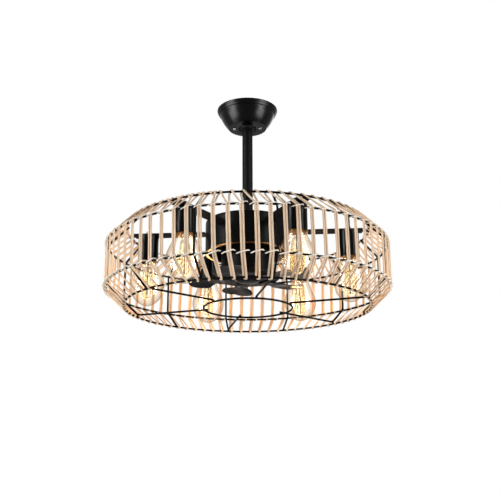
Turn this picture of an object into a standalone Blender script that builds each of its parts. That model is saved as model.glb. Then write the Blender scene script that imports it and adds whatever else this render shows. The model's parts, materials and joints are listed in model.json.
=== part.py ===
"""Caged chandelier ceiling fan: canopy and hanger ball, downrod, drum housing with its motor,
six lamps on radial arms, and a wire cage wound with hemp cord around five small blades.

Metres, +Z up. The origin is the centre of the bracket's ceiling face, with the fan hanging below.
Azimuth 0 is +X, where the first lamp sits.
"""
import math

import bmesh
import bpy
import numpy as np
from mathutils import Matrix, Vector

# Clearances
SEAT_GAP = 0.0003
RIB_GAP = 0.0005
CUT_OVERRUN = 0.002
MERGE_DISTANCE = 0.000003
SHARP_ANGLE = math.radians(35)

# Cage: the cord's outer face sets the overall diameter
CAGE_DIAMETER = 0.500
CAGE_DROP = 0.309
WALL_HEIGHT = 0.0754
SHOULDER_HEIGHT = 0.0307
SHOULDER_RING_DIAMETER = 0.4296
INNER_RING_DIAMETER = 0.155
WIRE_DIAMETER = 0.0030
RIB_COUNT = 12
RIB_BEND_RADIUS = 0.004
RIB_OVERHANG = 0.003
RING_SEGMENTS = 72
INNER_RING_SEGMENTS = 24
WIRE_SIDES = 6

# Flat hemp cord wound over the cage: one slat is a pair of strands
CORD_WIDTH = 0.0034
CORD_THICKNESS = 0.0020
STRAND_SPACING = 0.0039
FOOT_SPREAD = 0.0052
SLATS_PER_RIB = 6
WINDING_COUNT = 3
TURN_CORNERS = 3
NEIGHBOUR_WIDTHS = 4

# Lamps
LAMP_COUNT = 6
LAMP_INSET = 0.0358
ARM_WIDTH = 0.022
ARM_HEIGHT = 0.0030
ARM_RISE = 0.0670
TONGUE_WIDTH = 0.008
TONGUE_LENGTH = 0.009
SOCKET_DIAMETER = 0.0367
SOCKET_LENGTH = 0.0474
SOCKET_WALL = 0.0012
SOCKET_EDGE = 0.0014
HOLDER_HEIGHT = 0.0285
HOLDER_BORE = 0.0268
HOLDER_CROWN = 0.0055
BULB_DIAMETER = 0.0606
BULB_BASE_DIAMETER = 0.0258
BULB_BASE_LENGTH = 0.0250
BULB_CONTACT_DIAMETER = 0.0150
BULB_CONTACT_HEIGHT = 0.0030
BULB_NECK_DIAMETER = 0.0280
BULB_GLASS_LENGTH = 0.0970
LAMP_SIDES = 14

# Drum housing
DRUM_DIAMETER = 0.1508
DRUM_HEIGHT = 0.0592
DRUM_FOOT_RISE = 0.0288
DRUM_WALL = 0.0015
DRUM_SHOULDER = 0.0034
DRUM_LIP = 0.0030
DRUM_LIP_HEIGHT = 0.0015
DRUM_SEGMENTS = 36

# Downrod and its coupler
ROD_DIAMETER = 0.0190
ROD_WALL = 0.0015
ROD_SEGMENTS = 20
COUPLER_FLANGE_DIAMETER = 0.052
COUPLER_FLANGE_THICKNESS = 0.003
COUPLER_DIAMETER = 0.0260
COUPLER_LENGTH = 0.0240
COUPLER_FLOOR = 0.004
CROSS_PIN_DIAMETER = 0.005
COUPLER_PIN_DROP = 0.013
PIN_SIDES = 10

# Motor
STATOR_DIAMETER = 0.076
STATOR_HEIGHT = 0.048
STATOR_TOP_GAP = 0.0055
WINDING_CROWN = 0.006
WINDING_CROWN_INSET = 0.010
SHAFT_DIAMETER = 0.016
SHAFT_TAIL = 0.013
ROTOR_DIAMETER = 0.094
ROTOR_WALL = 0.0025
ROTOR_FLOOR = 0.004
ROTOR_HEIGHT = 0.066
ROTOR_FOOT_DROP = 0.008
BEARING_DIAMETER = 0.030
BEARING_HEIGHT = 0.007
BEARING_BOSS_WALL = 0.003
RUNNING_GAP = 0.0006
COLLAR_DIAMETER = 0.026
COLLAR_HEIGHT = 0.0045
MOTOR_SEGMENTS = 24

# Blade hub, cap and blades
HUB_DIAMETER = 0.112
HUB_THICKNESS = 0.0087
HUB_BORE = 0.030
HUB_RIM = 0.004
HUB_EDGE = 0.002
HUB_CAP_DIAMETER = 0.044
HUB_CAP_HEIGHT = 0.006
HUB_CAP_STEPS = 4
BLADE_COUNT = 5
BLADE_TIP_CLEARANCE = 0.0427
BLADE_ROOT_RADIUS = 0.030
BLADE_CHORD = 0.056
BLADE_THICKNESS = 0.0020
BLADE_PITCH = math.radians(10)
BLADE_CAMBER = 0.0030
BLADE_DROOP = 0.002

# Ceiling bracket, canopy and hanger ball
CANOPY_DIAMETER = 0.112
CANOPY_HEIGHT = 0.0360
CANOPY_WALL = 0.0012
CANOPY_LIP_HEIGHT = 0.0042
CANOPY_BEAD_HEIGHT = 0.0030
CANOPY_STEP = 0.0022
CANOPY_SHOULDER_DIAMETER = 0.103
CANOPY_WAIST_DIAMETER = 0.0735
CANOPY_FLAT_DIAMETER = 0.0700
CANOPY_HEEL = 0.0022
CANOPY_BULGE = 0.0016
CANOPY_BODY_STEPS = 4
CANOPY_SEGMENTS = 28
CANOPY_HOLE_DIAMETER = 0.033
BRACKET_PLATE = 0.002
BRACKET_WIDTH = 0.038
BRACKET_TOP_CLEARANCE = 0.0063
BRACKET_SHOULDER_STEP = 0.004
BRACKET_FOOT_CLEARANCE = 0.00855
CEILING_SLOT_LENGTH = 0.016
CEILING_SLOT_WIDTH = 0.005
CEILING_SLOT_SPACING = 0.050
CANOPY_SCREW_SPACING = 0.047
CANOPY_SCREW_DIAMETER = 0.0034
CANOPY_SCREW_HEAD_DIAMETER = 0.0066
CANOPY_SCREW_HEAD_HEIGHT = 0.0018
CANOPY_SCREW_CROWN_DIAMETER = 0.0040
CANOPY_SCREW_CROWN_HEIGHT = 0.0009
CANOPY_SCREW_STICKOUT = 0.002
BALL_DIAMETER = 0.038
BALL_CROWN = 0.012
BALL_STEPS = 8
PIN_RISE = 0.009
ROD_CROWN = 0.0012

# Derived places, all heights measured from the ceiling face
WIRE_RADIUS = WIRE_DIAMETER / 2
WALL_RING_RADIUS = CAGE_DIAMETER / 2 - CORD_THICKNESS - SEAT_GAP - WIRE_RADIUS
SHOULDER_RING_RADIUS = SHOULDER_RING_DIAMETER / 2
INNER_RING_RADIUS = INNER_RING_DIAMETER / 2
LAMP_RADIUS = SHOULDER_RING_RADIUS - LAMP_INSET
BLADE_TIP_RADIUS = LAMP_RADIUS - BULB_DIAMETER / 2 - BLADE_TIP_CLEARANCE
CAGE_Z = -CAGE_DROP
WALL_TOP_Z = CAGE_Z + WALL_HEIGHT / 2
WALL_FOOT_Z = CAGE_Z - WALL_HEIGHT / 2
CAGE_TOP_Z = WALL_TOP_Z + SHOULDER_HEIGHT
CAGE_FOOT_Z = WALL_FOOT_Z - SHOULDER_HEIGHT
RIB_PITCH = 2 * math.pi / RIB_COUNT
SLAT_PITCH = RIB_PITCH / SLATS_PER_RIB
FIRST_RIB_AZIMUTH = RIB_PITCH / 2
LAMP_PITCH = 2 * math.pi / LAMP_COUNT

ARM_FOOT_Z = CAGE_Z + ARM_RISE
SOCKET_TOP_Z = ARM_FOOT_Z - SEAT_GAP
SOCKET_MOUTH_Z = SOCKET_TOP_Z - SOCKET_LENGTH

DRUM_FOOT_Z = CAGE_Z + DRUM_FOOT_RISE
DRUM_TOP_Z = DRUM_FOOT_Z + DRUM_HEIGHT
DRUM_RADIUS = DRUM_DIAMETER / 2
ROD_RADIUS = ROD_DIAMETER / 2
COUPLER_TOP_Z = DRUM_TOP_Z - DRUM_WALL - SEAT_GAP
COUPLER_FOOT_Z = COUPLER_TOP_Z - COUPLER_LENGTH
ROD_FOOT_Z = COUPLER_FOOT_Z + COUPLER_FLOOR + SEAT_GAP
COUPLER_PIN_Z = COUPLER_TOP_Z - COUPLER_PIN_DROP

ROTOR_FOOT_Z = CAGE_Z - ROTOR_FOOT_DROP
ROTOR_TOP_Z = ROTOR_FOOT_Z + ROTOR_HEIGHT
HUB_TOP_Z = ROTOR_FOOT_Z - SEAT_GAP
HUB_FOOT_Z = HUB_TOP_Z - HUB_THICKNESS
BEARING_FOOT_Z = ROTOR_FOOT_Z + ROTOR_FLOOR + SEAT_GAP
SHAFT_TOP_Z = COUPLER_FOOT_Z - SEAT_GAP
SHAFT_FOOT_Z = ROTOR_FOOT_Z + ROTOR_FLOOR - SHAFT_TAIL
STATOR_TOP_Z = SHAFT_TOP_Z - STATOR_TOP_GAP
SHAFT_RADIUS = SHAFT_DIAMETER / 2

BRACKET_TOP_LENGTH = CANOPY_SHOULDER_DIAMETER - 2 * (CANOPY_WALL + BRACKET_TOP_CLEARANCE)
BRACKET_SHOULDER_LENGTH = BRACKET_TOP_LENGTH - 2 * BRACKET_SHOULDER_STEP
BRACKET_FOOT_LENGTH = CANOPY_WAIST_DIAMETER - 2 * (CANOPY_WALL + BRACKET_FOOT_CLEARANCE)
BRACKET_FOOT_Z = -CANOPY_HEIGHT + CANOPY_WALL + SEAT_GAP
BRACKET_SEAT_Z = BRACKET_FOOT_Z + BRACKET_PLATE
BALL_RADIUS = BALL_DIAMETER / 2
CANOPY_HOLE_RADIUS = CANOPY_HOLE_DIAMETER / 2
BALL_Z = BRACKET_SEAT_Z + math.sqrt((BALL_RADIUS + SEAT_GAP) ** 2 - CANOPY_HOLE_RADIUS ** 2)
ROD_TOP_Z = BALL_Z + BALL_CROWN + ROD_CROWN
BALL_BORE_RADIUS = ROD_RADIUS + SEAT_GAP


# Scene, materials and placing

def clear_scene():
    for item in list(bpy.data.objects):
        bpy.data.objects.remove(item, do_unlink=True)


def make_material(name, colour, roughness, metallic=0.0):
    material = bpy.data.materials.new(name)
    material.use_nodes = True
    shader = material.node_tree.nodes["Principled BSDF"]
    shader.inputs["Base Color"].default_value = (*colour, 1.0)
    shader.inputs["Roughness"].default_value = roughness
    shader.inputs["Metallic"].default_value = metallic
    return material


def make_axis(name, z, parent=None):
    axis = bpy.data.objects.new(name, None)
    bpy.context.collection.objects.link(axis)
    axis["height"] = z
    axis.parent = parent
    axis.location = (0, 0, z - (parent["height"] if parent else 0))
    return axis


def finish(name, bm, material, axis=None, turn=0.0, smooth=True):
    """Makes the bmesh an object, turned about Z and carried by an axis empty."""
    bmesh.ops.remove_doubles(bm, verts=bm.verts, dist=MERGE_DISTANCE)
    bmesh.ops.recalc_face_normals(bm, faces=bm.faces)
    mesh = bpy.data.meshes.new(name)
    bm.to_mesh(mesh)
    bm.free()
    mesh.materials.append(material)
    if smooth:
        mesh.shade_smooth()
        mesh.set_sharp_from_angle(angle=SHARP_ANGLE)
    return place(name, mesh, axis, turn)


def place(name, mesh, axis=None, turn=0.0):
    """An object whose mesh is drawn in world heights, hung on its axis empty."""
    item = bpy.data.objects.new(name, mesh)
    bpy.context.collection.objects.link(item)
    item.rotation_euler = (0, 0, turn)
    if axis:
        item.parent = axis
        item.location = (0, 0, -axis["height"])
    return item


def as_cutter(item):
    item.hide_render = True
    item.display_type = "WIRE"
    return item


def cut(target, cutter):
    boolean = target.modifiers.new(cutter.name, "BOOLEAN")
    boolean.operation = "DIFFERENCE"
    boolean.solver = "EXACT"
    boolean.object = as_cutter(cutter)


# Shapes

def turned(profile, segments, phase=0.0):
    """Spins a closed profile of (radius, height) pairs about Z."""
    bm = bmesh.new()
    start = [bm.verts.new((r * math.cos(phase), r * math.sin(phase), z)) for r, z in profile]
    for a, b in zip(start, start[1:] + start[:1]):
        if a.co.xy.length > MERGE_DISTANCE or b.co.xy.length > MERGE_DISTANCE:
            bm.edges.new((a, b))
    bmesh.ops.spin(bm, geom=bm.verts[:] + bm.edges[:], cent=(0, 0, 0), axis=(0, 0, 1),
                   angle=2 * math.pi, steps=segments, use_merge=True)
    bmesh.ops.remove_doubles(bm, verts=bm.verts, dist=MERGE_DISTANCE)
    return bm


def wire_ring(radius, z, segments, phase):
    """A round wire bent into a closed hoop."""
    section = [(radius + WIRE_RADIUS * math.cos(a), z + WIRE_RADIUS * math.sin(a))
               for a in (2 * math.pi * i / WIRE_SIDES for i in range(WIRE_SIDES))]
    return turned(section, segments, phase)


def round_bar(start, end, radius, sides):
    """A straight round bar between two points."""
    start, end = Vector(start), Vector(end)
    bm = bmesh.new()
    turn = (end - start).to_track_quat("Z", "Y").to_matrix().to_4x4()
    matrix = Matrix.Translation((start + end) / 2) @ turn
    bmesh.ops.create_cone(bm, cap_ends=True, segments=sides, radius1=radius, radius2=radius,
                          depth=(end - start).length, matrix=matrix)
    return bm


def block(low, high):
    """A box between two corners."""
    low, high = Vector(low), Vector(high)
    bm = bmesh.new()
    bmesh.ops.create_cube(bm, size=1.0)
    bmesh.ops.scale(bm, vec=high - low, verts=bm.verts)
    bmesh.ops.translate(bm, vec=(low + high) / 2, verts=bm.verts)
    return bm


def prism(outline, depth, bm=None):
    """Extrudes an outline of (x, z) pairs along Y, centred on Y = 0."""
    bm = bm or bmesh.new()
    near = [bm.verts.new((x, -depth / 2, z)) for x, z in outline]
    face = bm.faces.new(near)
    grown = bmesh.ops.extrude_face_region(bm, geom=[face])
    moved = [item for item in grown["geom"] if isinstance(item, bmesh.types.BMVert)]
    bmesh.ops.translate(bm, vec=(0, depth, 0), verts=moved)
    return bm


def swept(points, sides_out, half_diagonal, corner_angles):
    """Sweeps a polygon section along points, mitred at each corner, with flat end caps."""
    bm = bmesh.new()
    loops = []
    last = len(points) - 1
    for i, point in enumerate(points):
        before = (point - points[max(i - 1, 0)]).normalized()
        after = (points[min(i + 1, last)] - point).normalized()
        before = after if i == 0 else before
        after = before if i == last else after
        along = (before + after).normalized()
        side = (sides_out[i] - sides_out[i].dot(along) * along).normalized()
        rise = along.cross(side)
        inward = (after - before).normalized()
        loop = []
        for angle in corner_angles:
            offset = half_diagonal * (math.cos(angle) * side + math.sin(angle) * rise)
            offset += offset.dot(inward) * (1 / before.dot(along) - 1) * inward
            loop.append(bm.verts.new(point + offset))
        loops.append(loop)
    for first, second in zip(loops, loops[1:]):
        for i in range(len(first)):
            j = (i + 1) % len(first)
            bm.faces.new((first[i], first[j], second[j], second[i]))
    bm.faces.new(loops[0])
    bm.faces.new(loops[-1])
    return bm


def round_corners():
    return [2 * math.pi * i / WIRE_SIDES for i in range(WIRE_SIDES)]


def flat_corners(width, thickness):
    """Half the diagonal of a flat section, and the directions of its corners."""
    lean = math.atan2(thickness, width)
    return math.hypot(width, thickness) / 2, [lean, math.pi - lean, math.pi + lean, -lean]


# Cage geometry in the meridian plane, as (radius, height) vectors

def cage_corners():
    """Centres of the four outer hoops, top to bottom."""
    return [Vector((SHOULDER_RING_RADIUS, CAGE_TOP_Z)), Vector((WALL_RING_RADIUS, WALL_TOP_Z)),
            Vector((WALL_RING_RADIUS, WALL_FOOT_Z)), Vector((SHOULDER_RING_RADIUS, CAGE_FOOT_Z))]


def outward(start, end):
    """Unit vector square to a downward run, pointing away from the cage's inside."""
    run = (end - start).normalized()
    return Vector((-run.y, run.x))


def offset_corner(before, corner, after, offset):
    """The corner of two runs moved outward by the same offset."""
    first, second = outward(before, corner), outward(corner, after)
    middle = (first + second).normalized()
    return corner + middle * offset / middle.dot(first)


def bent(points, radius):
    """Replaces each inner point of a flat path by the two ends of its bend."""
    path = [points[0]]
    for before, corner, after in zip(points, points[1:], points[2:]):
        back, on = (before - corner).normalized(), (after - corner).normalized()
        path += [corner + back * radius, corner + on * radius]
    return path + [points[-1]]


def on_azimuth(point, azimuth, lateral=0.0):
    angle = azimuth + lateral / point.x
    return Vector((point.x * math.cos(angle), point.x * math.sin(angle), point.y))


def azimuth_vector(azimuth):
    return Vector((-math.sin(azimuth), math.cos(azimuth), 0))


# Ceiling bracket, canopy and their screws

def canopy_profile():
    lip_z = -CANOPY_LIP_HEIGHT
    bead_z = lip_z - CANOPY_BEAD_HEIGHT
    waist_z = -CANOPY_HEIGHT + CANOPY_HEEL
    shoulder = Vector((CANOPY_SHOULDER_DIAMETER / 2, bead_z))
    waist = Vector((CANOPY_WAIST_DIAMETER / 2, waist_z))
    out = outward(shoulder, waist)
    body = []
    for i in range(CANOPY_BODY_STEPS + 1):
        share = i / CANOPY_BODY_STEPS
        body.append(shoulder.lerp(waist, share) + out * CANOPY_BULGE * 4 * share * (1 - share))
    rim = CANOPY_DIAMETER / 2
    bead = rim - CANOPY_STEP
    outer = [(rim, 0), (rim, lip_z), (bead, lip_z), (bead, bead_z)]
    outer += [tuple(point) for point in body]
    outer += [(CANOPY_FLAT_DIAMETER / 2, -CANOPY_HEIGHT), (CANOPY_HOLE_RADIUS, -CANOPY_HEIGHT)]
    floor_z = -CANOPY_HEIGHT + CANOPY_WALL
    inner = [(CANOPY_HOLE_RADIUS, floor_z), (CANOPY_FLAT_DIAMETER / 2 - CANOPY_WALL, floor_z)]
    inner += [tuple(point - out * CANOPY_WALL) for point in (body[-1], body[len(body) // 2], body[0])]
    inner += [(inner[-1][0], 0)]
    return outer + inner


def screw_places():
    return [(side * CANOPY_SCREW_SPACING / 2, 0) for side in (1, -1)]


def screw_hole(name, x, y):
    radius = CANOPY_SCREW_DIAMETER / 2 + SEAT_GAP
    low = -CANOPY_HEIGHT - CUT_OVERRUN
    bm = round_bar((x, y, low), (x, y, BRACKET_SEAT_Z + CUT_OVERRUN), radius, PIN_SIDES)
    return finish(name, bm, None)


def make_canopy(black):
    shell = turned(canopy_profile(), CANOPY_SEGMENTS, math.pi / CANOPY_SEGMENTS)
    canopy = finish("canopy", shell, black)
    for i, (x, y) in enumerate(screw_places(), 1):
        cut(canopy, screw_hole(f"canopy_screw_hole_{i}", x, y))


def bracket_outline(inset):
    """The bracket's hat shape seen from the side, or the hollow inside its plate."""
    top, shoulder, foot = BRACKET_TOP_LENGTH / 2, BRACKET_SHOULDER_LENGTH / 2, BRACKET_FOOT_LENGTH / 2
    if inset:
        slope = (shoulder - foot) / (-BRACKET_PLATE - BRACKET_FOOT_Z)
        leg = BRACKET_PLATE * math.sqrt(1 + slope ** 2)
        top_x = shoulder - leg
        foot_x = foot - leg + BRACKET_PLATE * slope
        return [(-top_x, -BRACKET_PLATE), (-foot_x, BRACKET_SEAT_Z),
                (foot_x, BRACKET_SEAT_Z), (top_x, -BRACKET_PLATE)]
    return [(-top, 0), (-top, -BRACKET_PLATE), (-shoulder, -BRACKET_PLATE), (-foot, BRACKET_FOOT_Z),
            (foot, BRACKET_FOOT_Z), (shoulder, -BRACKET_PLATE), (top, -BRACKET_PLATE), (top, 0)]


def make_bracket(steel):
    body = prism(bracket_outline(False), BRACKET_WIDTH)
    bracket = finish("ceiling_bracket", body, steel, smooth=False)
    window = prism(bracket_outline(True), BRACKET_WIDTH + 2 * CUT_OVERRUN)
    cut(bracket, finish("bracket_window", window, None))
    seat = round_bar((0, 0, BRACKET_FOOT_Z - CUT_OVERRUN), (0, 0, BRACKET_SEAT_Z + CUT_OVERRUN),
                     CANOPY_HOLE_RADIUS, CANOPY_SEGMENTS)
    cut(bracket, finish("bracket_ball_seat", seat, None))
    for i, (x, y) in enumerate(screw_places(), 1):
        cut(bracket, screw_hole(f"bracket_screw_hole_{i}", x, y))
    for i, side in enumerate((1, -1), 1):
        x = side * CEILING_SLOT_SPACING / 2
        low = (x - CEILING_SLOT_LENGTH / 2, -CEILING_SLOT_WIDTH / 2, -BRACKET_PLATE - CUT_OVERRUN)
        high = (x + CEILING_SLOT_LENGTH / 2, CEILING_SLOT_WIDTH / 2, CUT_OVERRUN)
        cut(bracket, finish(f"ceiling_slot_{i}", block(low, high), None))


def make_canopy_screw(name, x, y, steel):
    head = CANOPY_SCREW_HEAD_DIAMETER / 2
    shank = CANOPY_SCREW_DIAMETER / 2
    crown = CANOPY_SCREW_CROWN_DIAMETER / 2
    seat_z = -CANOPY_HEIGHT - SEAT_GAP
    crown_z = seat_z - CANOPY_SCREW_HEAD_HEIGHT
    tip_z = BRACKET_SEAT_Z + CANOPY_SCREW_STICKOUT
    profile = [(0, tip_z), (shank, tip_z), (shank, seat_z), (head, seat_z),
               (head, crown_z + CANOPY_SCREW_CROWN_HEIGHT), (crown, crown_z), (0, crown_z)]
    bm = turned(profile, PIN_SIDES)
    bmesh.ops.translate(bm, vec=(x, y, 0), verts=bm.verts)
    finish(name, bm, steel)


# Hanger ball, rod and coupler

def make_ball(axis, plastic):
    top_angle = math.asin(BALL_CROWN / BALL_RADIUS)
    foot_angle = -math.acos(BALL_BORE_RADIUS / BALL_RADIUS)
    arc = [top_angle + (foot_angle - top_angle) * i / BALL_STEPS for i in range(BALL_STEPS + 1)]
    profile = [(BALL_RADIUS * math.cos(a), BALL_Z + BALL_RADIUS * math.sin(a)) for a in arc]
    profile += [(BALL_BORE_RADIUS, BALL_Z + BALL_CROWN)]
    ball = finish("hanger_ball", turned(profile, ROD_SEGMENTS), plastic, axis)
    half = CROSS_PIN_DIAMETER / 2 + SEAT_GAP
    groove = block((-half, -BALL_RADIUS, BALL_Z + PIN_RISE - half),
                   (half, BALL_RADIUS, BALL_Z + BALL_CROWN + CUT_OVERRUN))
    cut(ball, finish("hanger_pin_groove", groove, None, axis))


def cross_bar(z, length, radius, sides):
    return round_bar((0, -length / 2, z), (0, length / 2, z), radius, sides)


def make_hanger_pin(axis, steel):
    length = 2 * (math.sqrt(BALL_RADIUS ** 2 - PIN_RISE ** 2) - SEAT_GAP)
    bar = cross_bar(BALL_Z + PIN_RISE, length, CROSS_PIN_DIAMETER / 2, PIN_SIDES)
    finish("hanger_pin", bar, steel, axis)


def make_rod(axis, black):
    inner = ROD_RADIUS - ROD_WALL
    profile = [(ROD_RADIUS, ROD_TOP_Z), (ROD_RADIUS, ROD_FOOT_Z), (inner, ROD_FOOT_Z), (inner, ROD_TOP_Z)]
    rod = finish("downrod", turned(profile, ROD_SEGMENTS), black, axis)
    hole = CROSS_PIN_DIAMETER / 2 + SEAT_GAP
    length = ROD_DIAMETER + 2 * CUT_OVERRUN
    for name, z in (("hanger_pin_hole", BALL_Z + PIN_RISE), ("coupler_pin_hole", COUPLER_PIN_Z)):
        cut(rod, finish(name, cross_bar(z, length, hole, PIN_SIDES), None, axis))


def make_coupler(axis, steel):
    flange, body = COUPLER_FLANGE_DIAMETER / 2, COUPLER_DIAMETER / 2
    bore = ROD_RADIUS + SEAT_GAP
    under_z = COUPLER_TOP_Z - COUPLER_FLANGE_THICKNESS
    floor_z = COUPLER_FOOT_Z + COUPLER_FLOOR
    wire_hole = SHAFT_RADIUS - ROD_WALL
    profile = [(flange, COUPLER_TOP_Z), (flange, under_z), (body, under_z), (body, COUPLER_FOOT_Z),
               (wire_hole, COUPLER_FOOT_Z), (wire_hole, floor_z), (bore, floor_z), (bore, COUPLER_TOP_Z)]
    coupler = finish("rod_coupler", turned(profile, ROD_SEGMENTS), steel, axis)
    hole = cross_bar(COUPLER_PIN_Z, COUPLER_DIAMETER + 2 * CUT_OVERRUN,
                     CROSS_PIN_DIAMETER / 2 + SEAT_GAP, PIN_SIDES)
    cut(coupler, finish("coupler_cross_hole", hole, None, axis))


def make_coupler_pin(axis, steel):
    bar = cross_bar(COUPLER_PIN_Z, COUPLER_DIAMETER, CROSS_PIN_DIAMETER / 2, PIN_SIDES)
    finish("coupler_pin", bar, steel, axis)


# Housing and motor

def make_housing(axis, black):
    hole = ROD_RADIUS + SEAT_GAP
    inner = DRUM_RADIUS - DRUM_WALL
    lip = inner - DRUM_LIP + DRUM_WALL
    roof_z = DRUM_TOP_Z - DRUM_WALL
    lip_z = DRUM_FOOT_Z + DRUM_LIP_HEIGHT
    profile = [(hole, DRUM_TOP_Z), (DRUM_RADIUS - DRUM_SHOULDER, DRUM_TOP_Z),
               (DRUM_RADIUS, DRUM_TOP_Z - DRUM_SHOULDER), (DRUM_RADIUS, DRUM_FOOT_Z), (lip, DRUM_FOOT_Z),
               (lip, lip_z), (inner, lip_z), (inner, DRUM_TOP_Z - DRUM_SHOULDER),
               (inner - DRUM_SHOULDER + DRUM_WALL, roof_z), (hole, roof_z)]
    finish("motor_housing", turned(profile, DRUM_SEGMENTS), black, axis)


def make_stator(axis, steel):
    core = STATOR_DIAMETER / 2
    crown = core - WINDING_CROWN_INSET
    foot_z = STATOR_TOP_Z - STATOR_HEIGHT
    bore = SHAFT_RADIUS - ROD_WALL
    profile = [(SHAFT_RADIUS, SHAFT_TOP_Z), (SHAFT_RADIUS, STATOR_TOP_Z), (crown, STATOR_TOP_Z),
               (core, STATOR_TOP_Z - WINDING_CROWN), (core, foot_z + WINDING_CROWN), (crown, foot_z),
               (SHAFT_RADIUS, foot_z), (SHAFT_RADIUS, SHAFT_FOOT_Z), (bore, SHAFT_FOOT_Z),
               (bore, SHAFT_TOP_Z)]
    finish("motor_stator", turned(profile, MOTOR_SEGMENTS), steel, axis)


def make_bearing(axis, steel):
    inner, outer = SHAFT_RADIUS + SEAT_GAP, BEARING_DIAMETER / 2
    top_z = BEARING_FOOT_Z + BEARING_HEIGHT
    profile = [(outer, top_z), (outer, BEARING_FOOT_Z), (inner, BEARING_FOOT_Z), (inner, top_z)]
    finish("motor_bearing", turned(profile, ROD_SEGMENTS), steel, axis)


def make_collar(axis, steel):
    inner, outer = SHAFT_RADIUS + SEAT_GAP, COLLAR_DIAMETER / 2
    top_z = ROTOR_FOOT_Z - RUNNING_GAP
    foot_z = top_z - COLLAR_HEIGHT
    profile = [(outer, top_z), (outer, foot_z), (inner, foot_z), (inner, top_z)]
    finish("shaft_collar", turned(profile, ROD_SEGMENTS), steel, axis)


def make_rotor(axis, black):
    outer = ROTOR_DIAMETER / 2
    inner = outer - ROTOR_WALL
    bore = SHAFT_RADIUS + RUNNING_GAP
    seat = BEARING_DIAMETER / 2 + RUNNING_GAP
    boss = seat + BEARING_BOSS_WALL
    floor_z = ROTOR_FOOT_Z + ROTOR_FLOOR
    boss_z = floor_z + BEARING_HEIGHT
    profile = [(outer, ROTOR_TOP_Z), (outer, ROTOR_FOOT_Z), (bore, ROTOR_FOOT_Z), (bore, floor_z),
               (seat, floor_z), (seat, boss_z), (boss, boss_z), (boss, floor_z), (inner, floor_z),
               (inner, ROTOR_TOP_Z)]
    finish("motor_rotor", turned(profile, MOTOR_SEGMENTS), black, axis)


# Hub, cap and blades

def make_hub(axis, black):
    outer, bore = HUB_DIAMETER / 2, HUB_BORE / 2
    rim = outer - HUB_RIM
    profile = [(outer, HUB_TOP_Z - HUB_EDGE), (outer, HUB_FOOT_Z + HUB_EDGE), (rim, HUB_FOOT_Z),
               (bore, HUB_FOOT_Z), (bore, HUB_TOP_Z), (rim, HUB_TOP_Z)]
    finish("blade_hub", turned(profile, MOTOR_SEGMENTS), black, axis)


def make_hub_cap(axis, black):
    radius = HUB_CAP_DIAMETER / 2
    top_z = HUB_FOOT_Z - SEAT_GAP
    foot_z = top_z - HUB_CAP_HEIGHT
    dome = []
    for i in range(1, HUB_CAP_STEPS + 1):
        angle = math.pi / 2 * i / HUB_CAP_STEPS
        dome.append((radius * math.cos(angle), top_z - HUB_CAP_HEIGHT * math.sin(angle)))
    dome[-1] = (0, foot_z)
    finish("hub_cap", turned([(0, top_z), (radius, top_z)] + dome, ROD_SEGMENTS), black, axis)


def blade_sections():
    """Place, chord share and pitch share of the blade's sections: the root, then from the hub's edge out."""
    paddle_start = HUB_DIAMETER / 2
    paddle = BLADE_TIP_RADIUS - paddle_start
    reach_shares = (0.0, 0.165, 0.375, 0.665, 0.865, 0.96, 1.0)
    places = [BLADE_ROOT_RADIUS] + [paddle_start + paddle * share for share in reach_shares]
    chord_shares = (0.42, 0.46, 0.80, 1.0, 1.0, 0.86, 0.62, 0.28)
    pitch_shares = (0.0, 0.0, 0.60, 1.0, 0.90, 0.78, 0.72, 0.70)
    return zip(places, chord_shares, pitch_shares)


def blade_mesh():
    """A flat root tab under the hub that opens into a pitched, cambered paddle along +X."""
    bm = bmesh.new()
    top_z = HUB_FOOT_Z - SEAT_GAP
    middle_z = top_z - BLADE_THICKNESS / 2
    across_shares = (-0.5, -0.25, 0.0, 0.25, 0.5)
    rows = []
    for x, chord_share, pitch_share in blade_sections():
        chord, pitch = BLADE_CHORD * chord_share, BLADE_PITCH * pitch_share
        droop = BLADE_DROOP * pitch_share
        upper, lower = [], []
        for share in across_shares:
            arch = BLADE_CAMBER * pitch_share * (1 - 4 * share ** 2)
            for face, side in ((upper, 0.5), (lower, -0.5)):
                flat = share * chord
                lift = arch + side * BLADE_THICKNESS
                y = flat * math.cos(pitch) - lift * math.sin(pitch)
                z = flat * math.sin(pitch) + lift * math.cos(pitch)
                face.append(bm.verts.new((x, y, middle_z - droop + z)))
        rows.append(upper + lower[::-1])
    for first, second in zip(rows, rows[1:]):
        for i in range(len(first)):
            j = (i + 1) % len(first)
            bm.faces.new((first[i], first[j], second[j], second[i]))
    for row in (rows[0], rows[-1]):
        for i in range(len(across_shares) - 1):
            j = len(row) - 1 - i
            bm.faces.new((row[i], row[i + 1], row[j - 1], row[j]))
    return bm


def make_blades(axis, black):
    first = finish("fan_blade_1", blade_mesh(), black, axis, math.pi)
    for i in range(1, BLADE_COUNT):
        place(f"fan_blade_{i + 1}", first.data, axis, math.pi + 2 * math.pi * i / BLADE_COUNT)


# Lamps

def arm_mesh():
    """A flat bar from the drum's wall over the socket, with a tongue welded to the top hoop."""
    start = DRUM_RADIUS + SEAT_GAP
    tip = SHOULDER_RING_RADIUS - WIRE_RADIUS - SEAT_GAP
    shoulder = tip - TONGUE_LENGTH
    half, tongue = ARM_WIDTH / 2, TONGUE_WIDTH / 2
    outline = [(start, -half), (shoulder, -half), (shoulder, -tongue), (tip, -tongue),
               (tip, tongue), (shoulder, tongue), (shoulder, half), (start, half)]
    bm = bmesh.new()
    foot = [bm.verts.new((x, y, ARM_FOOT_Z)) for x, y in outline]
    grown = bmesh.ops.extrude_face_region(bm, geom=[bm.faces.new(foot)])
    moved = [item for item in grown["geom"] if isinstance(item, bmesh.types.BMVert)]
    bmesh.ops.translate(bm, vec=(0, 0, ARM_HEIGHT), verts=moved)
    return bm


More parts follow.
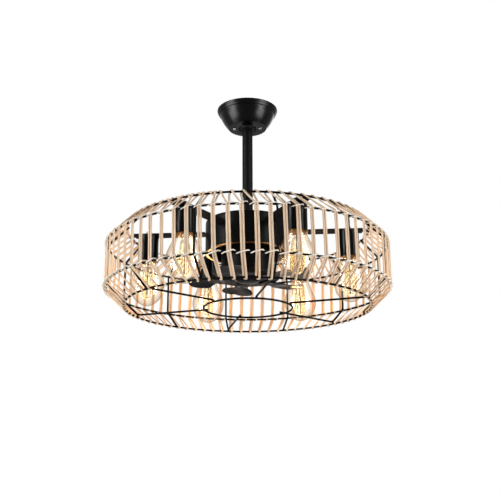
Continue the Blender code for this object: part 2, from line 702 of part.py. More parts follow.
def socket_profile():
    outer, inner = SOCKET_DIAMETER / 2, SOCKET_DIAMETER / 2 - SOCKET_WALL
    bore = HOLDER_BORE / 2
    holder_z = SOCKET_TOP_Z - HOLDER_HEIGHT
    crown_z = SOCKET_TOP_Z - HOLDER_CROWN
    return [(0, SOCKET_TOP_Z), (outer - SOCKET_EDGE, SOCKET_TOP_Z), (outer, SOCKET_TOP_Z - SOCKET_EDGE),
            (outer, SOCKET_MOUTH_Z), (inner, SOCKET_MOUTH_Z), (inner, holder_z), (bore, holder_z),
            (bore, crown_z), (0, crown_z)]


def bulb_profile():
    """Screw base, then a teardrop of glass given as shares of its length and radius."""
    top_z = SOCKET_TOP_Z - HOLDER_CROWN - SEAT_GAP
    shell_z = top_z - BULB_CONTACT_HEIGHT
    glass_z = top_z - BULB_BASE_LENGTH
    base, contact = BULB_BASE_DIAMETER / 2, BULB_CONTACT_DIAMETER / 2
    radius = BULB_DIAMETER / 2
    profile = [(0, top_z), (contact, top_z), (base, shell_z), (base, glass_z)]
    profile += [(BULB_NECK_DIAMETER / 2, glass_z)]
    length_shares = (0.19, 0.34, 0.48, 0.60, 0.72, 0.84, 0.93, 0.98)
    radius_shares = (0.55, 0.75, 0.95, 1.0, 0.97, 0.80, 0.54, 0.28)
    for down, wide in zip(length_shares, radius_shares):
        profile.append((radius * wide, glass_z - BULB_GLASS_LENGTH * down))
    return profile + [(0, glass_z - BULB_GLASS_LENGTH)]


def lamp_turned(profile):
    bm = turned(profile, LAMP_SIDES)
    bmesh.ops.translate(bm, vec=(LAMP_RADIUS, 0, 0), verts=bm.verts)
    return bm


def make_lamps(axis, black, glass):
    parts = (("lamp_arm", arm_mesh(), black, False),
             ("lamp_socket", lamp_turned(socket_profile()), black, True),
             ("bulb", lamp_turned(bulb_profile()), glass, True))
    for name, bm, material, smooth in parts:
        first = finish(f"{name}_1", bm, material, axis, smooth=smooth)
        for i in range(1, LAMP_COUNT):
            place(f"{name}_{i + 1}", first.data, axis, i * LAMP_PITCH)


# Wire cage

def make_hoops(axis, black):
    names = ("cage_ring_top", "cage_ring_upper", "cage_ring_lower", "cage_ring_bottom")
    for name, corner in zip(names, cage_corners()):
        finish(name, wire_ring(corner.x, corner.y, RING_SEGMENTS, SLAT_PITCH / 2), black, axis)
    inner = wire_ring(INNER_RING_RADIUS, CAGE_FOOT_Z, INNER_RING_SEGMENTS, 0.0)
    finish("cage_ring_inner", inner, black, axis)


def rib_mesh(spoked):
    """A wire inside the hoops, bent over each; the spoked ones run on to the inner hoop."""
    top, upper, lower, bottom = cage_corners()
    inset = -(WIRE_DIAMETER + RIB_GAP)
    start = top + outward(top, upper) * inset - (upper - top).normalized() * RIB_OVERHANG
    path = [start, offset_corner(top, upper, lower, inset), offset_corner(upper, lower, bottom, inset)]
    if spoked:
        hub = Vector((INNER_RING_RADIUS, CAGE_FOOT_Z))
        path += [offset_corner(lower, bottom, hub, inset)]
        path += [hub + outward(bottom, hub) * inset + (hub - bottom).normalized() * RIB_OVERHANG]
    else:
        path += [bottom + outward(lower, bottom) * inset + (bottom - lower).normalized() * RIB_OVERHANG]
    points = [on_azimuth(point, 0.0) for point in bent(path, RIB_BEND_RADIUS)]
    return swept(points, [azimuth_vector(0.0)] * len(points), WIRE_RADIUS, round_corners())


def make_ribs(axis, black):
    for name, spoked, start in (("cage_spoke_rib", True, -1), ("cage_rib", False, 1)):
        first = finish(f"{name}_1", rib_mesh(spoked), black, axis, start * FIRST_RIB_AZIMUTH)
        for i in range(1, RIB_COUNT // 2):
            place(f"{name}_{i + 1}", first.data, axis, start * FIRST_RIB_AZIMUTH + 2 * i * RIB_PITCH)


# Hemp winding

def hoop_turn(centre, run, lift):
    """Corners of a cord that comes along a run, turns round a hoop and leaves for the run's far end.

    It arrives on the run's outer side and goes back to that side of the far hoop, so it turns
    through a little more than half a circle.
    """
    along = run.normalized()
    out = Vector((-along.y, along.x)) if along.y < 0 else Vector((along.y, -along.x))
    tilt = math.atan(2 * lift / run.length)
    step = (math.pi + tilt) / TURN_CORNERS
    reach = lift / math.cos(step / 2)
    angles = [step * (i + 0.5) for i in range(TURN_CORNERS)]
    return [centre + out * reach * math.cos(angle) - along * reach * math.sin(angle) for angle in angles]


def winding_route(first_azimuth, slats):
    """The cord's centre line over a run of slats: points, their azimuths and sideways offsets.

    Each slat comes down the left strand outside the bottom hoop, turns round it and goes up the
    right strand. It reaches the top hoop on its inner side, turns round it and crosses outside to
    the next slat.
    """
    top, upper, lower, bottom = cage_corners()
    lift = WIRE_RADIUS + SEAT_GAP + CORD_THICKNESS / 2
    upper_bend = offset_corner(top, upper, lower, lift)
    lower_bend = offset_corner(upper, lower, bottom, lift)
    wall = Vector((WALL_RING_RADIUS + lift, CAGE_Z))
    end_gap = Vector((0, SEAT_GAP))
    top_turn = hoop_turn(top, upper - top, lift)[::-1]
    bottom_turn = hoop_turn(bottom, lower - bottom, lift)
    shares = [i / (TURN_CORNERS - 1) - 0.5 for i in range(TURN_CORNERS)]
    half = STRAND_SPACING / 2
    route = [(wall - end_gap, first_azimuth, -half)]
    for i in range(slats):
        azimuth = first_azimuth + i * SLAT_PITCH
        route.append((lower_bend, azimuth, -half))
        route += [(point, azimuth, share * FOOT_SPREAD) for point, share in zip(bottom_turn, shares)]
        route += [(lower_bend, azimuth, half), (upper_bend, azimuth, half)]
        route += [(point, azimuth, share * STRAND_SPACING) for point, share in zip(top_turn, shares)]
        route.append((upper_bend, azimuth + SLAT_PITCH, -half))
    return route + [(wall + end_gap, first_azimuth + slats * SLAT_PITCH, -half)]


def least_gap(points, width):
    """The smallest free space between stretches of one cord that lie well apart along its length."""
    step = width / 2
    samples, reach, travelled = [], [], 0.0
    for start, end in zip(points, points[1:]):
        length = (end - start).length
        count = max(1, math.ceil(length / step))
        for i in range(count):
            samples.append(tuple(start.lerp(end, i / count)))
            reach.append(travelled + length * i / count)
        travelled += length
    samples, reach = np.array(samples), np.array(reach)
    least = math.inf
    for i in range(len(samples)):
        apart = reach - reach[i] > NEIGHBOUR_WIDTHS * width
        if apart.any():
            distance = np.linalg.norm(samples[apart] - samples[i], axis=1).min()
            least = min(least, float(distance))
    return least - width


def winding_mesh(slats):
    route = winding_route(SLAT_PITCH / 2 - FIRST_RIB_AZIMUTH, slats)
    points = [on_azimuth(point, azimuth, lateral) for point, azimuth, lateral in route]
    sides = [azimuth_vector(azimuth) for _, azimuth, _ in route]
    print(f"least gap of the cord to itself: {least_gap(points, CORD_WIDTH) * 1000:.2f} mm")
    return swept(points, sides, *flat_corners(CORD_WIDTH, CORD_THICKNESS))


def make_windings(axis, hemp):
    slats = RIB_COUNT * SLATS_PER_RIB // WINDING_COUNT
    first = finish("cord_winding_1", winding_mesh(slats), hemp, axis, smooth=False)
    for i in range(1, WINDING_COUNT):
        place(f"cord_winding_{i + 1}", first.data, axis, i * slats * SLAT_PITCH)


def main():
    clear_scene()
    black = make_material("satin_black", (0.015, 0.015, 0.016), 0.42, 0.2)
    steel = make_material("zinc_steel", (0.55, 0.55, 0.56), 0.35, 1.0)
    plastic = make_material("black_nylon", (0.03, 0.03, 0.03), 0.5)
    glass = make_material("amber_glass", (0.95, 0.80, 0.55), 0.05)
    hemp = make_material("hemp_cord", (0.72, 0.58, 0.42), 0.85)

    tilt_axis = make_axis("fixture_tilt_axis", BALL_Z)
    spin_axis = make_axis("rotor_spin_axis", ROTOR_FOOT_Z, tilt_axis)

    make_bracket(steel)
    make_canopy(black)
    for i, (x, y) in enumerate(screw_places(), 1):
        make_canopy_screw(f"canopy_screw_{i}", x, y, steel)

    make_ball(tilt_axis, plastic)
    make_hanger_pin(tilt_axis, steel)
    make_rod(tilt_axis, black)
    make_coupler(tilt_axis, steel)
    make_coupler_pin(tilt_axis, steel)
    make_housing(tilt_axis, black)
    make_stator(tilt_axis, steel)
    make_bearing(tilt_axis, steel)
    make_collar(tilt_axis, steel)

    make_rotor(spin_axis, black)
    make_hub(spin_axis, black)
    make_hub_cap(spin_axis, black)
    make_blades(spin_axis, black)

    make_lamps(tilt_axis, black, glass)
    make_hoops(tilt_axis, black)
    make_ribs(tilt_axis, black)
    make_windings(tilt_axis, hemp)


main()
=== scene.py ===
"""Look scene of the caged chandelier ceiling fan: finely turned metal, glass bulbs with their
filaments, and the hemp cord wound strand by strand over the wire cage.

Everything is in metres in the frame of the CAD model: the ceiling face is z = 0, +Z is up and
azimuth 0 is +X, where the first lamp sits.
"""
import json
import math

import bmesh
import bpy
import numpy as np
from mathutils import Matrix, Vector

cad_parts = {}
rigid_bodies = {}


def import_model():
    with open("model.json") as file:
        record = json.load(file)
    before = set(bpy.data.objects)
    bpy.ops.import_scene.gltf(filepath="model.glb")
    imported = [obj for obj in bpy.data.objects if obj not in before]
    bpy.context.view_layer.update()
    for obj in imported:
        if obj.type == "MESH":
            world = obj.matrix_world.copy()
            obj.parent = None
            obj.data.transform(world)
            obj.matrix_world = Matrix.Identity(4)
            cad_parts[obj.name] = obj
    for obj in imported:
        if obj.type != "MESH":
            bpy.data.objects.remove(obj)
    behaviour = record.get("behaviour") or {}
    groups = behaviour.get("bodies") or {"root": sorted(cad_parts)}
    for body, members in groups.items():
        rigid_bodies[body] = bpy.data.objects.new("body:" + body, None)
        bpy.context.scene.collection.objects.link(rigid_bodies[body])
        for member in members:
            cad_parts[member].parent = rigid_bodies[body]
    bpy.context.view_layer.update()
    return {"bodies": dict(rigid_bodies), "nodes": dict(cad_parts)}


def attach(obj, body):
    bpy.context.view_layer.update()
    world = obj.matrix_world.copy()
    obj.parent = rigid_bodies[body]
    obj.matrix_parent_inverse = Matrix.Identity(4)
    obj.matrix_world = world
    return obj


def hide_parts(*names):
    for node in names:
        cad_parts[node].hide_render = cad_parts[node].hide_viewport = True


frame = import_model()
NODES = frame["nodes"]
TAU = 2 * math.pi

# Sizes shared with the CAD model
REST_GAP = 0.0003
CAGE_Z = -0.309
WALL_HALF = 0.0377
SHOULDER_HEIGHT = 0.0307
WALL_RADIUS = 0.2462
SHOULDER_RADIUS = 0.2148
INNER_RADIUS = 0.0775
WALL_TOP_Z = CAGE_Z + WALL_HALF
WALL_FOOT_Z = CAGE_Z - WALL_HALF
CAGE_TOP_Z = WALL_TOP_Z + SHOULDER_HEIGHT
CAGE_FOOT_Z = WALL_FOOT_Z - SHOULDER_HEIGHT
WIRE = 0.0015
RIB_PAIRS = 6
LAMP_COUNT = 6
LAMP_RADIUS = 0.1790
ARM_FOOT_Z = CAGE_Z + 0.0670
ARM_TOP_Z = ARM_FOOT_Z + 0.0030
SOCKET_TOP_Z = ARM_FOOT_Z - REST_GAP
SOCKET_MOUTH_Z = SOCKET_TOP_Z - 0.0474
HOLDER_Z = SOCKET_TOP_Z - 0.0285
BULB_TOP_Z = SOCKET_TOP_Z - 0.0058
GLASS_TOP_Z = BULB_TOP_Z - 0.0250
GLASS_LENGTH = 0.0970
DRUM_RADIUS = 0.0754
DRUM_FOOT_Z = CAGE_Z + 0.0288
DRUM_TOP_Z = DRUM_FOOT_Z + 0.0592
ROTOR_FOOT_Z = CAGE_Z - 0.008
HUB_TOP_Z = ROTOR_FOOT_Z - REST_GAP
HUB_FOOT_Z = HUB_TOP_Z - 0.0087
BLADE_COUNT = 5
BALL_Z = -0.022488
CORD_THICKNESS = 0.0020
SLAT_PITCH = math.radians(5)
FIRST_SLAT = math.radians(-12.5)

# Sizes of the look alone
WIRE_COATED = 0.00178
CORD_WIDTH = 0.0036


# Materials

class NodeTree:
    """A node tree with a short way of adding and joining nodes."""

    def __init__(self, tree):
        self.tree = tree

    def join(self, value, socket):
        if isinstance(value, bpy.types.NodeSocket):
            self.tree.links.new(value, socket)
        else:
            socket.default_value = value

    def add(self, kind, inputs=None, **settings):
        node = self.tree.nodes.new(kind)
        for key, value in settings.items():
            setattr(node, key, value)
        for key, value in (inputs or {}).items():
            self.join(value, node.inputs[key])
        return node

    def math(self, operation, first, second=0.0):
        return self.add("ShaderNodeMath", {0: first, 1: second}, operation=operation).outputs[0]

    def background_rays(self):
        """One where a ray shows the background itself, mirrored or through glass, else zero."""
        path = self.add("ShaderNodeLightPath")
        seen = self.math("MAXIMUM", path.outputs["Is Camera Ray"], path.outputs["Is Glossy Ray"])
        return self.math("MAXIMUM", seen, path.outputs["Is Transmission Ray"])


class Shader(NodeTree):
    """A surface material built on its principled node."""

    def __init__(self, name):
        self.material = bpy.data.materials.new(name)
        self.material.use_nodes = True
        super().__init__(self.material.node_tree)

    def set(self, **values):
        for key, value in values.items():
            self.join(value, self.tree.nodes["Principled BSDF"].inputs[key.replace("_", " ")])

    def place(self, stretch=(1, 1, 1)):
        where = self.add("ShaderNodeTexCoord").outputs["Object"]
        return self.add("ShaderNodeMapping", {"Vector": where, "Scale": stretch}).outputs["Vector"]

    def noise(self, vector, scale, detail=4.0, rough=0.55):
        values = {"Vector": vector, "Scale": scale, "Detail": detail, "Roughness": rough}
        return self.add("ShaderNodeTexNoise", values).outputs["Fac"]

    def between(self, value, low, high, start=0.3, end=0.7):
        values = {"Value": value, "From Min": start, "From Max": end, "To Min": low, "To Max": high}
        return self.add("ShaderNodeMapRange", values).outputs["Result"]

    def blend(self, share, first, second):
        return self.add("ShaderNodeMix", {0: share, 6: first, 7: second}, data_type="RGBA").outputs[2]

    def bump(self, height, strength, distance):
        values = {"Height": height, "Strength": strength, "Distance": distance}
        self.set(Normal=self.add("ShaderNodeBump", values).outputs["Normal"])


def rgb(red, green, blue):
    return (red, green, blue, 1.0)


def tint(colour, share):
    return (*(min(1.0, value * share) for value in colour[:3]), 1.0)


def painted(name, colour, roughness, specular, grain=420.0, stretch=(1, 1, 1), spread=0.07, bump=0.10):
    """Satin coating: soft cloudy tone, uneven gloss and a faint orange-peel surface."""
    s = Shader(name)
    cloud = s.noise(s.place(stretch), 28.0, 3.0)
    peel = s.noise(s.place(stretch), grain, 2.0)
    s.set(Base_Color=s.blend(s.between(cloud, 0.0, 1.0), tint(colour, 0.78), tint(colour, 1.28)))
    s.set(Roughness=s.between(cloud, roughness - spread, roughness + spread), Specular_IOR_Level=specular)
    s.bump(peel, bump, 0.0002)
    return s.material


def hemp(name, light, dark, plies):
    """Twisted plies: the cord's own U runs along it in turns, V round it. The mesh carries a value that is 1
    at the edge that faces the slat's other strand, where painted shade darkens the cord most; the grooves
    between the plies get painted shade as well."""
    s = Shader(name)
    uv = s.add("ShaderNodeSeparateXYZ", {"Vector": s.add("ShaderNodeUVMap", uv_map="cord").outputs["UV"]})
    along, twist = uv.outputs["X"], s.math("SUBTRACT", uv.outputs["Y"], uv.outputs["X"])
    ridge = s.between(s.math("COSINE", s.math("MULTIPLY", twist, TAU * plies)), 0.0, 1.0, -1.0, 0.35)
    fibre_place = s.add("ShaderNodeCombineXYZ", {"X": s.math("MULTIPLY", along, 2.2),
                                                 "Y": s.math("MULTIPLY", twist, 26.0)})
    fibre = s.noise(fibre_place.outputs["Vector"], 1.6, 5.0, 0.65)
    patch = s.noise(s.place(), 46.0, 3.0)
    painted_gap_shade = s.add("ShaderNodeAttribute", attribute_name="painted_gap_shade").outputs["Fac"]
    body = s.blend(s.between(fibre, 0.0, 1.0, 0.32, 0.72), tint(light, 0.86), tint(light, 1.08))
    body = s.blend(s.between(patch, 0.0, 0.40), body, tint(light, 0.80))
    # Painted shade where the slat's two strands meet.
    body = s.blend(s.between(painted_gap_shade, 0.0, 0.88, 0.05, 0.90), body, dark)
    # Painted shade in the grooves between the twisted plies.
    s.set(Base_Color=s.blend(ridge, s.blend(0.30, dark, body), body), Roughness=s.between(fibre, 0.95, 0.78))
    s.set(Specular_IOR_Level=0.15, Sheen_Weight=0.25, Sheen_Roughness=0.5)
    s.bump(s.math("ADD", s.math("MULTIPLY", ridge, 0.5), s.math("MULTIPLY", fibre, 0.5)), 0.40, 0.0004)
    return s.material


def plated(name, colour, roughness, stretch=(1, 1, 1)):
    """Bare or plated metal with fine drawn streaks."""
    s = Shader(name)
    streak = s.noise(s.place(stretch), 300.0, 3.0)
    cloud = s.noise(s.place(), 60.0, 2.0)
    s.set(Base_Color=s.blend(s.between(cloud, 0.0, 1.0), tint(colour, 0.86), tint(colour, 1.08)))
    s.set(Roughness=s.between(streak, roughness - 0.07, roughness + 0.10), Metallic=1.0)
    s.bump(streak, 0.06, 0.0002)
    return s.material


def painted_lamplight(name, colour, roughness, metallic, painted_glow):
    """Painted lamplight: a gold colour and a faint glow that stand in for the bulbs' warm light on surfaces
    that face the lamps.
    """
    s = Shader(name)
    cloud = s.noise(s.place((1, 1, 0.3)), 90.0, 3.0)
    tone = s.blend(s.between(cloud, 0.0, 1.0), tint(colour, 0.72), tint(colour, 1.15))
    s.set(Base_Color=tone, Roughness=s.between(cloud, roughness, roughness + 0.14), Metallic=metallic)
    # Painted glow: the surface's own emission stands in for the lamps' light falling on it.
    s.set(Emission_Color=tone, Emission_Strength=painted_glow)
    s.bump(cloud, 0.05, 0.0002)
    return s.material


def thin_glass(name, middle, edge):
    """Thin blown glass: clear and faintly amber, deeper at its edge, with its own reflections and a
    trace of warm light."""
    s = Shader(name)
    facing = s.add("ShaderNodeLayerWeight", {"Blend": 0.42}).outputs["Facing"]
    wave = s.noise(s.place((1, 1, 0.45)), 70.0, 2.0)
    depth = s.between(s.math("ADD", facing, s.math("MULTIPLY", wave, 0.30)), 0.0, 1.0, 0.45, 1.15)
    clear = s.add("ShaderNodeBsdfTransparent", {"Color": s.blend(depth, middle, edge)})
    ripple = s.add("ShaderNodeBump", {"Height": wave, "Strength": 0.35, "Distance": 0.0015}).outputs["Normal"]
    shine = {"Color": rgb(1.0, 0.97, 0.92), "Roughness": 0.04, "Normal": ripple}
    gloss = s.add("ShaderNodeBsdfGlossy", shine)
    slant = s.add("ShaderNodeLayerWeight", {"Blend": 0.5, "Normal": ripple}).outputs["Facing"]
    mirror = s.math("ADD", s.math("MULTIPLY", s.math("POWER", slant, 5.0), 0.55), 0.045)
    skin = s.add("ShaderNodeMixShader", {0: mirror, 1: clear.outputs[0], 2: gloss.outputs[0]})
    warm = s.add("ShaderNodeEmission", {"Color": rgb(1.0, 0.63, 0.27), "Strength": 0.004})
    both = s.add("ShaderNodeAddShader", {0: skin.outputs[0], 1: warm.outputs[0]})
    s.join(both.outputs[0], s.tree.nodes["Material Output"].inputs["Surface"])
    return s.material


def glowing(name, colour, strength):
    """A hot filament, uneven along its length."""
    s = Shader(name)
    beat = s.noise(s.place(), 260.0, 3.0)
    tone = s.blend(s.between(beat, 0.0, 1.0), tint(colour, 0.60), colour)
    heat = s.between(beat, strength * 0.30, strength * 2.6, 0.36, 0.74)
    s.set(Base_Color=tint(colour, 0.02), Emission_Color=tone, Emission_Strength=heat, Roughness=0.5)
    return s.material


BLACK = painted("satin_black_paint", rgb(0.0016, 0.0016, 0.0018), 0.27, 0.045, spread=0.04)
BLACK_ROD = painted("rod_black_paint", rgb(0.0040, 0.0040, 0.0042), 0.50, 0.020, grain=520.0)
BLACK_WIRE = painted("black_wire_paint", rgb(0.0020, 0.0018, 0.0017), 0.50, 0.020, grain=700.0, bump=0.16)
BLACK_DRUM = painted("brushed_black_paint", rgb(0.0020, 0.0020, 0.0022), 0.36, 0.016, grain=260.0,
                     stretch=(6, 6, 0.25), spread=0.08, bump=0.14)
# Black lacquer; the faint warm tint of this black is a painted reflection of the bulbs' light.
BLACK_GLOSS = painted("blade_lacquer_and_painted_bulb_reflection", rgb(0.0060, 0.0050, 0.0040), 0.22, 0.014, grain=180.0, spread=0.05,
                      bump=0.05)
BLACK_CUP = painted("lamp_cup_lacquer", rgb(0.0018, 0.0018, 0.0019), 0.17, 0.030, grain=320.0, spread=0.03,
                    bump=0.04)
NYLON = painted("black_nylon_grain", rgb(0.0030, 0.0030, 0.0030), 0.50, 0.05, grain=900.0, bump=0.2)
STEEL = plated("zinc_plated_steel", rgb(0.56, 0.56, 0.57), 0.33, (1, 1, 6))
DARK_STEEL = plated("dark_steel", rgb(0.060, 0.060, 0.062), 0.34, (1, 1, 6))
SCREW_STEEL = plated("dulled_screw_steel", rgb(0.17, 0.17, 0.17), 0.36)
NICKEL = plated("nickel_shell", rgb(0.72, 0.66, 0.54), 0.24)
# Painted lamplight: the gold inside the lamp cups and on the drum's lip stands in for the bulbs' warm light
# and its reflection.
PAINTED_LAMPLIGHT_GOLD = painted_lamplight("painted_lamplight_gold", rgb(0.27, 0.185, 0.060), 0.30, 0.80, 0.01)
PAINTED_LAMPLIGHT_GOLD_DIM = painted_lamplight("painted_lamplight_gold_dim", rgb(0.105, 0.048, 0.014), 0.22, 1.0, 0.0)
GLASS = thin_glass("amber_thin_glass", rgb(0.935, 0.872, 0.785), rgb(0.56, 0.42, 0.30))
STEM = thin_glass("glass_stem", rgb(0.97, 0.94, 0.88), rgb(0.84, 0.74, 0.60))
FILAMENT = glowing("hot_filament", rgb(0.98, 0.66, 0.27), 0.44)
SUPPORT = painted("lamp_support_wire", rgb(0.020, 0.015, 0.010), 0.60, 0.10)
HEMP = hemp("hemp_cord_strands", rgb(0.93, 0.76, 0.57), rgb(0.50, 0.27, 0.13), 3)
HEMP_THIN = hemp("hemp_lashing_strands", rgb(1.0, 0.94, 0.83), rgb(0.80, 0.66, 0.50), 2)


# Pieces. A part starts with its vertices and faces.

def link(name, data):
    item = bpy.data.objects.new(name, data)
    bpy.context.scene.collection.objects.link(item)
    return item


def place_piece(name, mesh, body, replaces=(), turn=0.0):
    """Puts a mesh into the scene as a piece that rides on a CAD body, turned about the axis."""
    piece = link(name, mesh)
    piece.rotation_euler = (0, 0, turn)
    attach(piece, body)
    if replaces:
        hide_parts(*replaces)
    return piece


def face_outwards(mesh):
    bm = bmesh.new()
    bm.from_mesh(mesh)
    bmesh.ops.recalc_face_normals(bm, faces=bm.faces)
    bm.to_mesh(mesh)
    bm.free()


def new_mesh(name, part):
    mesh = bpy.data.meshes.new(name)
    mesh.from_pydata([tuple(v) for v in part[0]], [], [tuple(f) for f in part[1]])
    return mesh


def add_piece(name, part, materials, body, slot, replaces=(), zones=None, uvs=None, painted_gap_shade=None, sharp=38.0,
              turn=0.0):
    """A piece of its own mesh; zones gives each face its material's number."""
    mesh = new_mesh(name, part)
    for material in materials:
        mesh.materials.append(material)
    if zones is not None:
        mesh.polygons.foreach_set("material_index", np.array(zones, dtype=np.int32))
    if uvs is not None:
        mesh.uv_layers.new(name="cord").data.foreach_set("uv", uvs.astype(np.float32).ravel())
    # Per-point mask for the cord's painted shade between the strands.
    if painted_gap_shade is not None:
        mesh.attributes.new("painted_gap_shade", "FLOAT", "POINT").data.foreach_set("value", painted_gap_shade.astype(np.float32))
    mesh.update()
    face_outwards(mesh)
    mesh.shade_smooth()
    mesh.set_sharp_from_angle(angle=math.radians(sharp))
    return place_piece(name, mesh, body, replaces, turn)


def add_round(stem, count, start, part, materials, body, slot, node=None, **settings):
    """The same piece evenly round the axis; each replaces its own CAD node where one is named."""
    first = None
    for i in range(count):
        name, turn = f"{stem}_{i + 1}", start + TAU * i / count
        replaces = [f"{node}_{i + 1}"] if node else ()
        if first is None:
            first = add_piece(name, part, materials, body, slot, replaces=replaces, turn=turn, **settings)
        else:
            place_piece(name, first.data, body, replaces, turn)


# Mesh building

def filleted(profile, closed, steps=5):
    """Rounds the corners of a (radius, height, fillet) outline; returns points and source numbers."""
    points, source = [], []
    count = len(profile)
    for i, item in enumerate(profile):
        fillet = item[2] if len(item) > 2 else 0.0
        here = Vector(item[:2])
        if fillet <= 0 or (not closed and i in (0, count - 1)):
            points.append(tuple(here))
            source.append(i)
            continue
        before, after = Vector(profile[i - 1][:2]), Vector(profile[(i + 1) % count][:2])
        back, on = before - here, after - here
        angle = back.angle(on)
        trim = min(fillet / math.tan(angle / 2), 0.49 * back.length, 0.49 * on.length)
        radius = trim * math.tan(angle / 2)
        back.normalize()
        on.normalize()
        centre = here + (back + on).normalized() * radius / math.sin(angle / 2)
        first, last = here + back * trim - centre, here + on * trim - centre
        start = math.atan2(first.y, first.x)
        sweep = (math.atan2(last.y, last.x) - start + math.pi) % TAU - math.pi
        for k in range(steps + 1):
            a = start + sweep * k / steps
            points.append((centre.x + radius * math.cos(a), centre.y + radius * math.sin(a)))
            source.append(i)
    return points, source


def lathe(profile, segments, closed, steps=5):
    """Turned surface of an outline; returns vertices, faces and each face's outline number."""
    points, source = filleted(profile, closed, steps)
    verts, rings = [], []
    for r, z in points:
        if r < 1e-7:
            rings.append([len(verts)] * segments)
            verts.append((0.0, 0.0, z))
            continue
        rings.append(list(range(len(verts), len(verts) + segments)))
        verts.extend(polar(r, TAU * k / segments, z) for k in range(segments))
    faces, zones = [], []
    pairs = list(zip(range(len(rings) - 1), range(1, len(rings))))
    if closed:
        pairs.append((len(rings) - 1, 0))
    for i, j in pairs:
        for k in range(segments):
            n = (k + 1) % segments
            loop = []
            for index in (rings[i][k], rings[i][n], rings[j][n], rings[j][k]):
                if index not in loop:
                    loop.append(index)
            if len(loop) > 2:
                faces.append(loop)
                zones.append(source[i])
    return verts, faces, zones


def turned_piece(name, profile, segments, materials, body, slot, replaces=(), closed=True, second_zones=(),
                 sharp=38.0):
    """A piece turned about the axis; its second material is on the outline numbers in second_zones."""
    part = lathe(profile, segments, closed)
    zones = [int(number in second_zones) for number in part[2]]
    add_piece(name, part, materials, body, slot, replaces, zones, sharp=sharp)


def groove(start, end, z, rise):
    """Outline points of a ring groove that starts and ends at these radii of a flat face."""
    slope, fillet = math.copysign(0.0004, end - start), 0.0002
    return [(start, z, fillet), (start + slope, z + rise, fillet), (end - slope, z + rise, fillet),
            (end, z, fillet)]


def unit(vectors):
    return vectors / np.linalg.norm(vectors, axis=1)[:, None]


def frames_along(points, closed):
    """Two vectors square to the path, which turn as little as they can along it."""
    if closed:
        tangent = unit(np.roll(points, -1, 0) - np.roll(points, 1, 0))
    else:
        tangent = unit(np.gradient(points, axis=0))
    side = np.empty_like(points)
    guess = np.array([0.0, 0.0, 1.0]) if abs(tangent[0][2]) < 0.9 else np.array([1.0, 0.0, 0.0])
    current = guess - guess.dot(tangent[0]) * tangent[0]
    current /= np.linalg.norm(current)
    for i, along in enumerate(tangent):
        current = current - current.dot(along) * along
        current /= np.linalg.norm(current)
        side[i] = current
    return side, np.cross(tangent, side)


def turns_along(points, pitch):
    """Distance travelled along a path, counted in turns of the cord's twist."""
    steps = np.linalg.norm(np.diff(points, axis=0), axis=1)
    return np.concatenate([[0.0], np.cumsum(steps)]) / pitch


def plied(angle, turns, plies, depth):
    """Share of the full radius at each point and angle of a cord of twisted plies."""
    return 1 - depth * (0.5 - 0.5 * np.cos(plies * (angle[None, :] - TAU * turns[:, None])))


def skin(points, side, up, wide, deep, turns, closed=False):
    """Skin round a path, wide along side and deep along up; returns vertices, faces and face-corner UVs."""
    verts = points[:, None, :] + side[:, None, :] * wide[:, :, None] + up[:, None, :] * deep[:, :, None]
    count, sides = wide.shape
    spans = count if closed else count - 1
    i, k = np.repeat(np.arange(spans), sides), np.tile(np.arange(sides), spans)
    j, n = (i + 1) % count, (k + 1) % sides
    faces = np.stack([i * sides + k, i * sides + n, j * sides + n, j * sides + k], 1).tolist()
    along = np.append(turns, 2 * turns[-1] - turns[-2])
    u0, u1, v0, v1 = along[i], along[i + 1], k / sides, (k + 1) / sides
    uvs = [np.stack([u0, v0, u0, v1, u1, v1, u1, v0], 1).reshape(-1, 2)]
    for end in () if closed else (0, count - 1):
        faces.append([end * sides + m for m in range(sides)])
        uvs.append(np.stack([np.full(sides, turns[end]), np.arange(sides) / sides], 1))
    return verts.reshape(-1, 3), faces, np.concatenate(uvs)


def tube(points, radius, sides, closed=False, plies=0, ply_depth=0.0, pitch=0.01):
    """A round or plied tube along points; returns vertices, faces and face-corner UVs."""
    points = np.asarray(points, dtype=float)
    turns, angle = turns_along(points, pitch), TAU * np.arange(sides) / sides
    reach = radius * plied(angle, turns, plies, ply_depth)
    return skin(points, *frames_along(points, closed), reach * np.cos(angle), reach * np.sin(angle), turns,
                closed)


def ribbon(points, across, inner, sides=12, plies=3, ply_depth=0.09, pitch=0.013):
    """The flat plied cord, its wide way along the across vectors; returns vertices, faces,
    face-corner UVs and each vertex's nearness to the slat's other strand."""
    along = unit(np.gradient(points, axis=0))
    side = unit(across - (across * along).sum(1)[:, None] * along)
    turns, angle = turns_along(points, pitch), TAU * np.arange(sides) / sides
    share = plied(angle, turns, plies, ply_depth)
    wide = np.sign(np.cos(angle)) * np.abs(np.cos(angle)) ** 0.8 * CORD_WIDTH / 2
    deep = np.sign(np.sin(angle)) * np.abs(np.sin(angle)) ** 0.8 * CORD_THICKNESS / 2
    # Nearness to the other strand, which the hemp material darkens as painted shade.
    painted_gap_shade = (inner[:, None] * np.cos(angle)).ravel()
    return (*skin(points, side, np.cross(along, side), share * wide, share * deep, turns), painted_gap_shade)


def merge(parts):
    verts, faces = [], []
    for part_verts, part_faces, *_ in parts:
        base = len(verts)
        verts.extend(tuple(v) for v in part_verts)
        faces.extend([base + index for index in face] for face in part_faces)
    return verts, faces


def moved(part, place, turn=0.0):
    matrix = Matrix.Translation(place) @ Matrix.Rotation(turn, 4, "Z")
    return [tuple(matrix @ Vector(v)) for v in part[0]], part[1]


def polar(r, azimuth, z):
    return Vector((r * math.cos(azimuth), r * math.sin(azimuth), z))


def outward(start, end):
    """Unit vector square to a flat path, on its left."""
    run = (end - start).normalized()
    return Vector((-run.y, run.x))


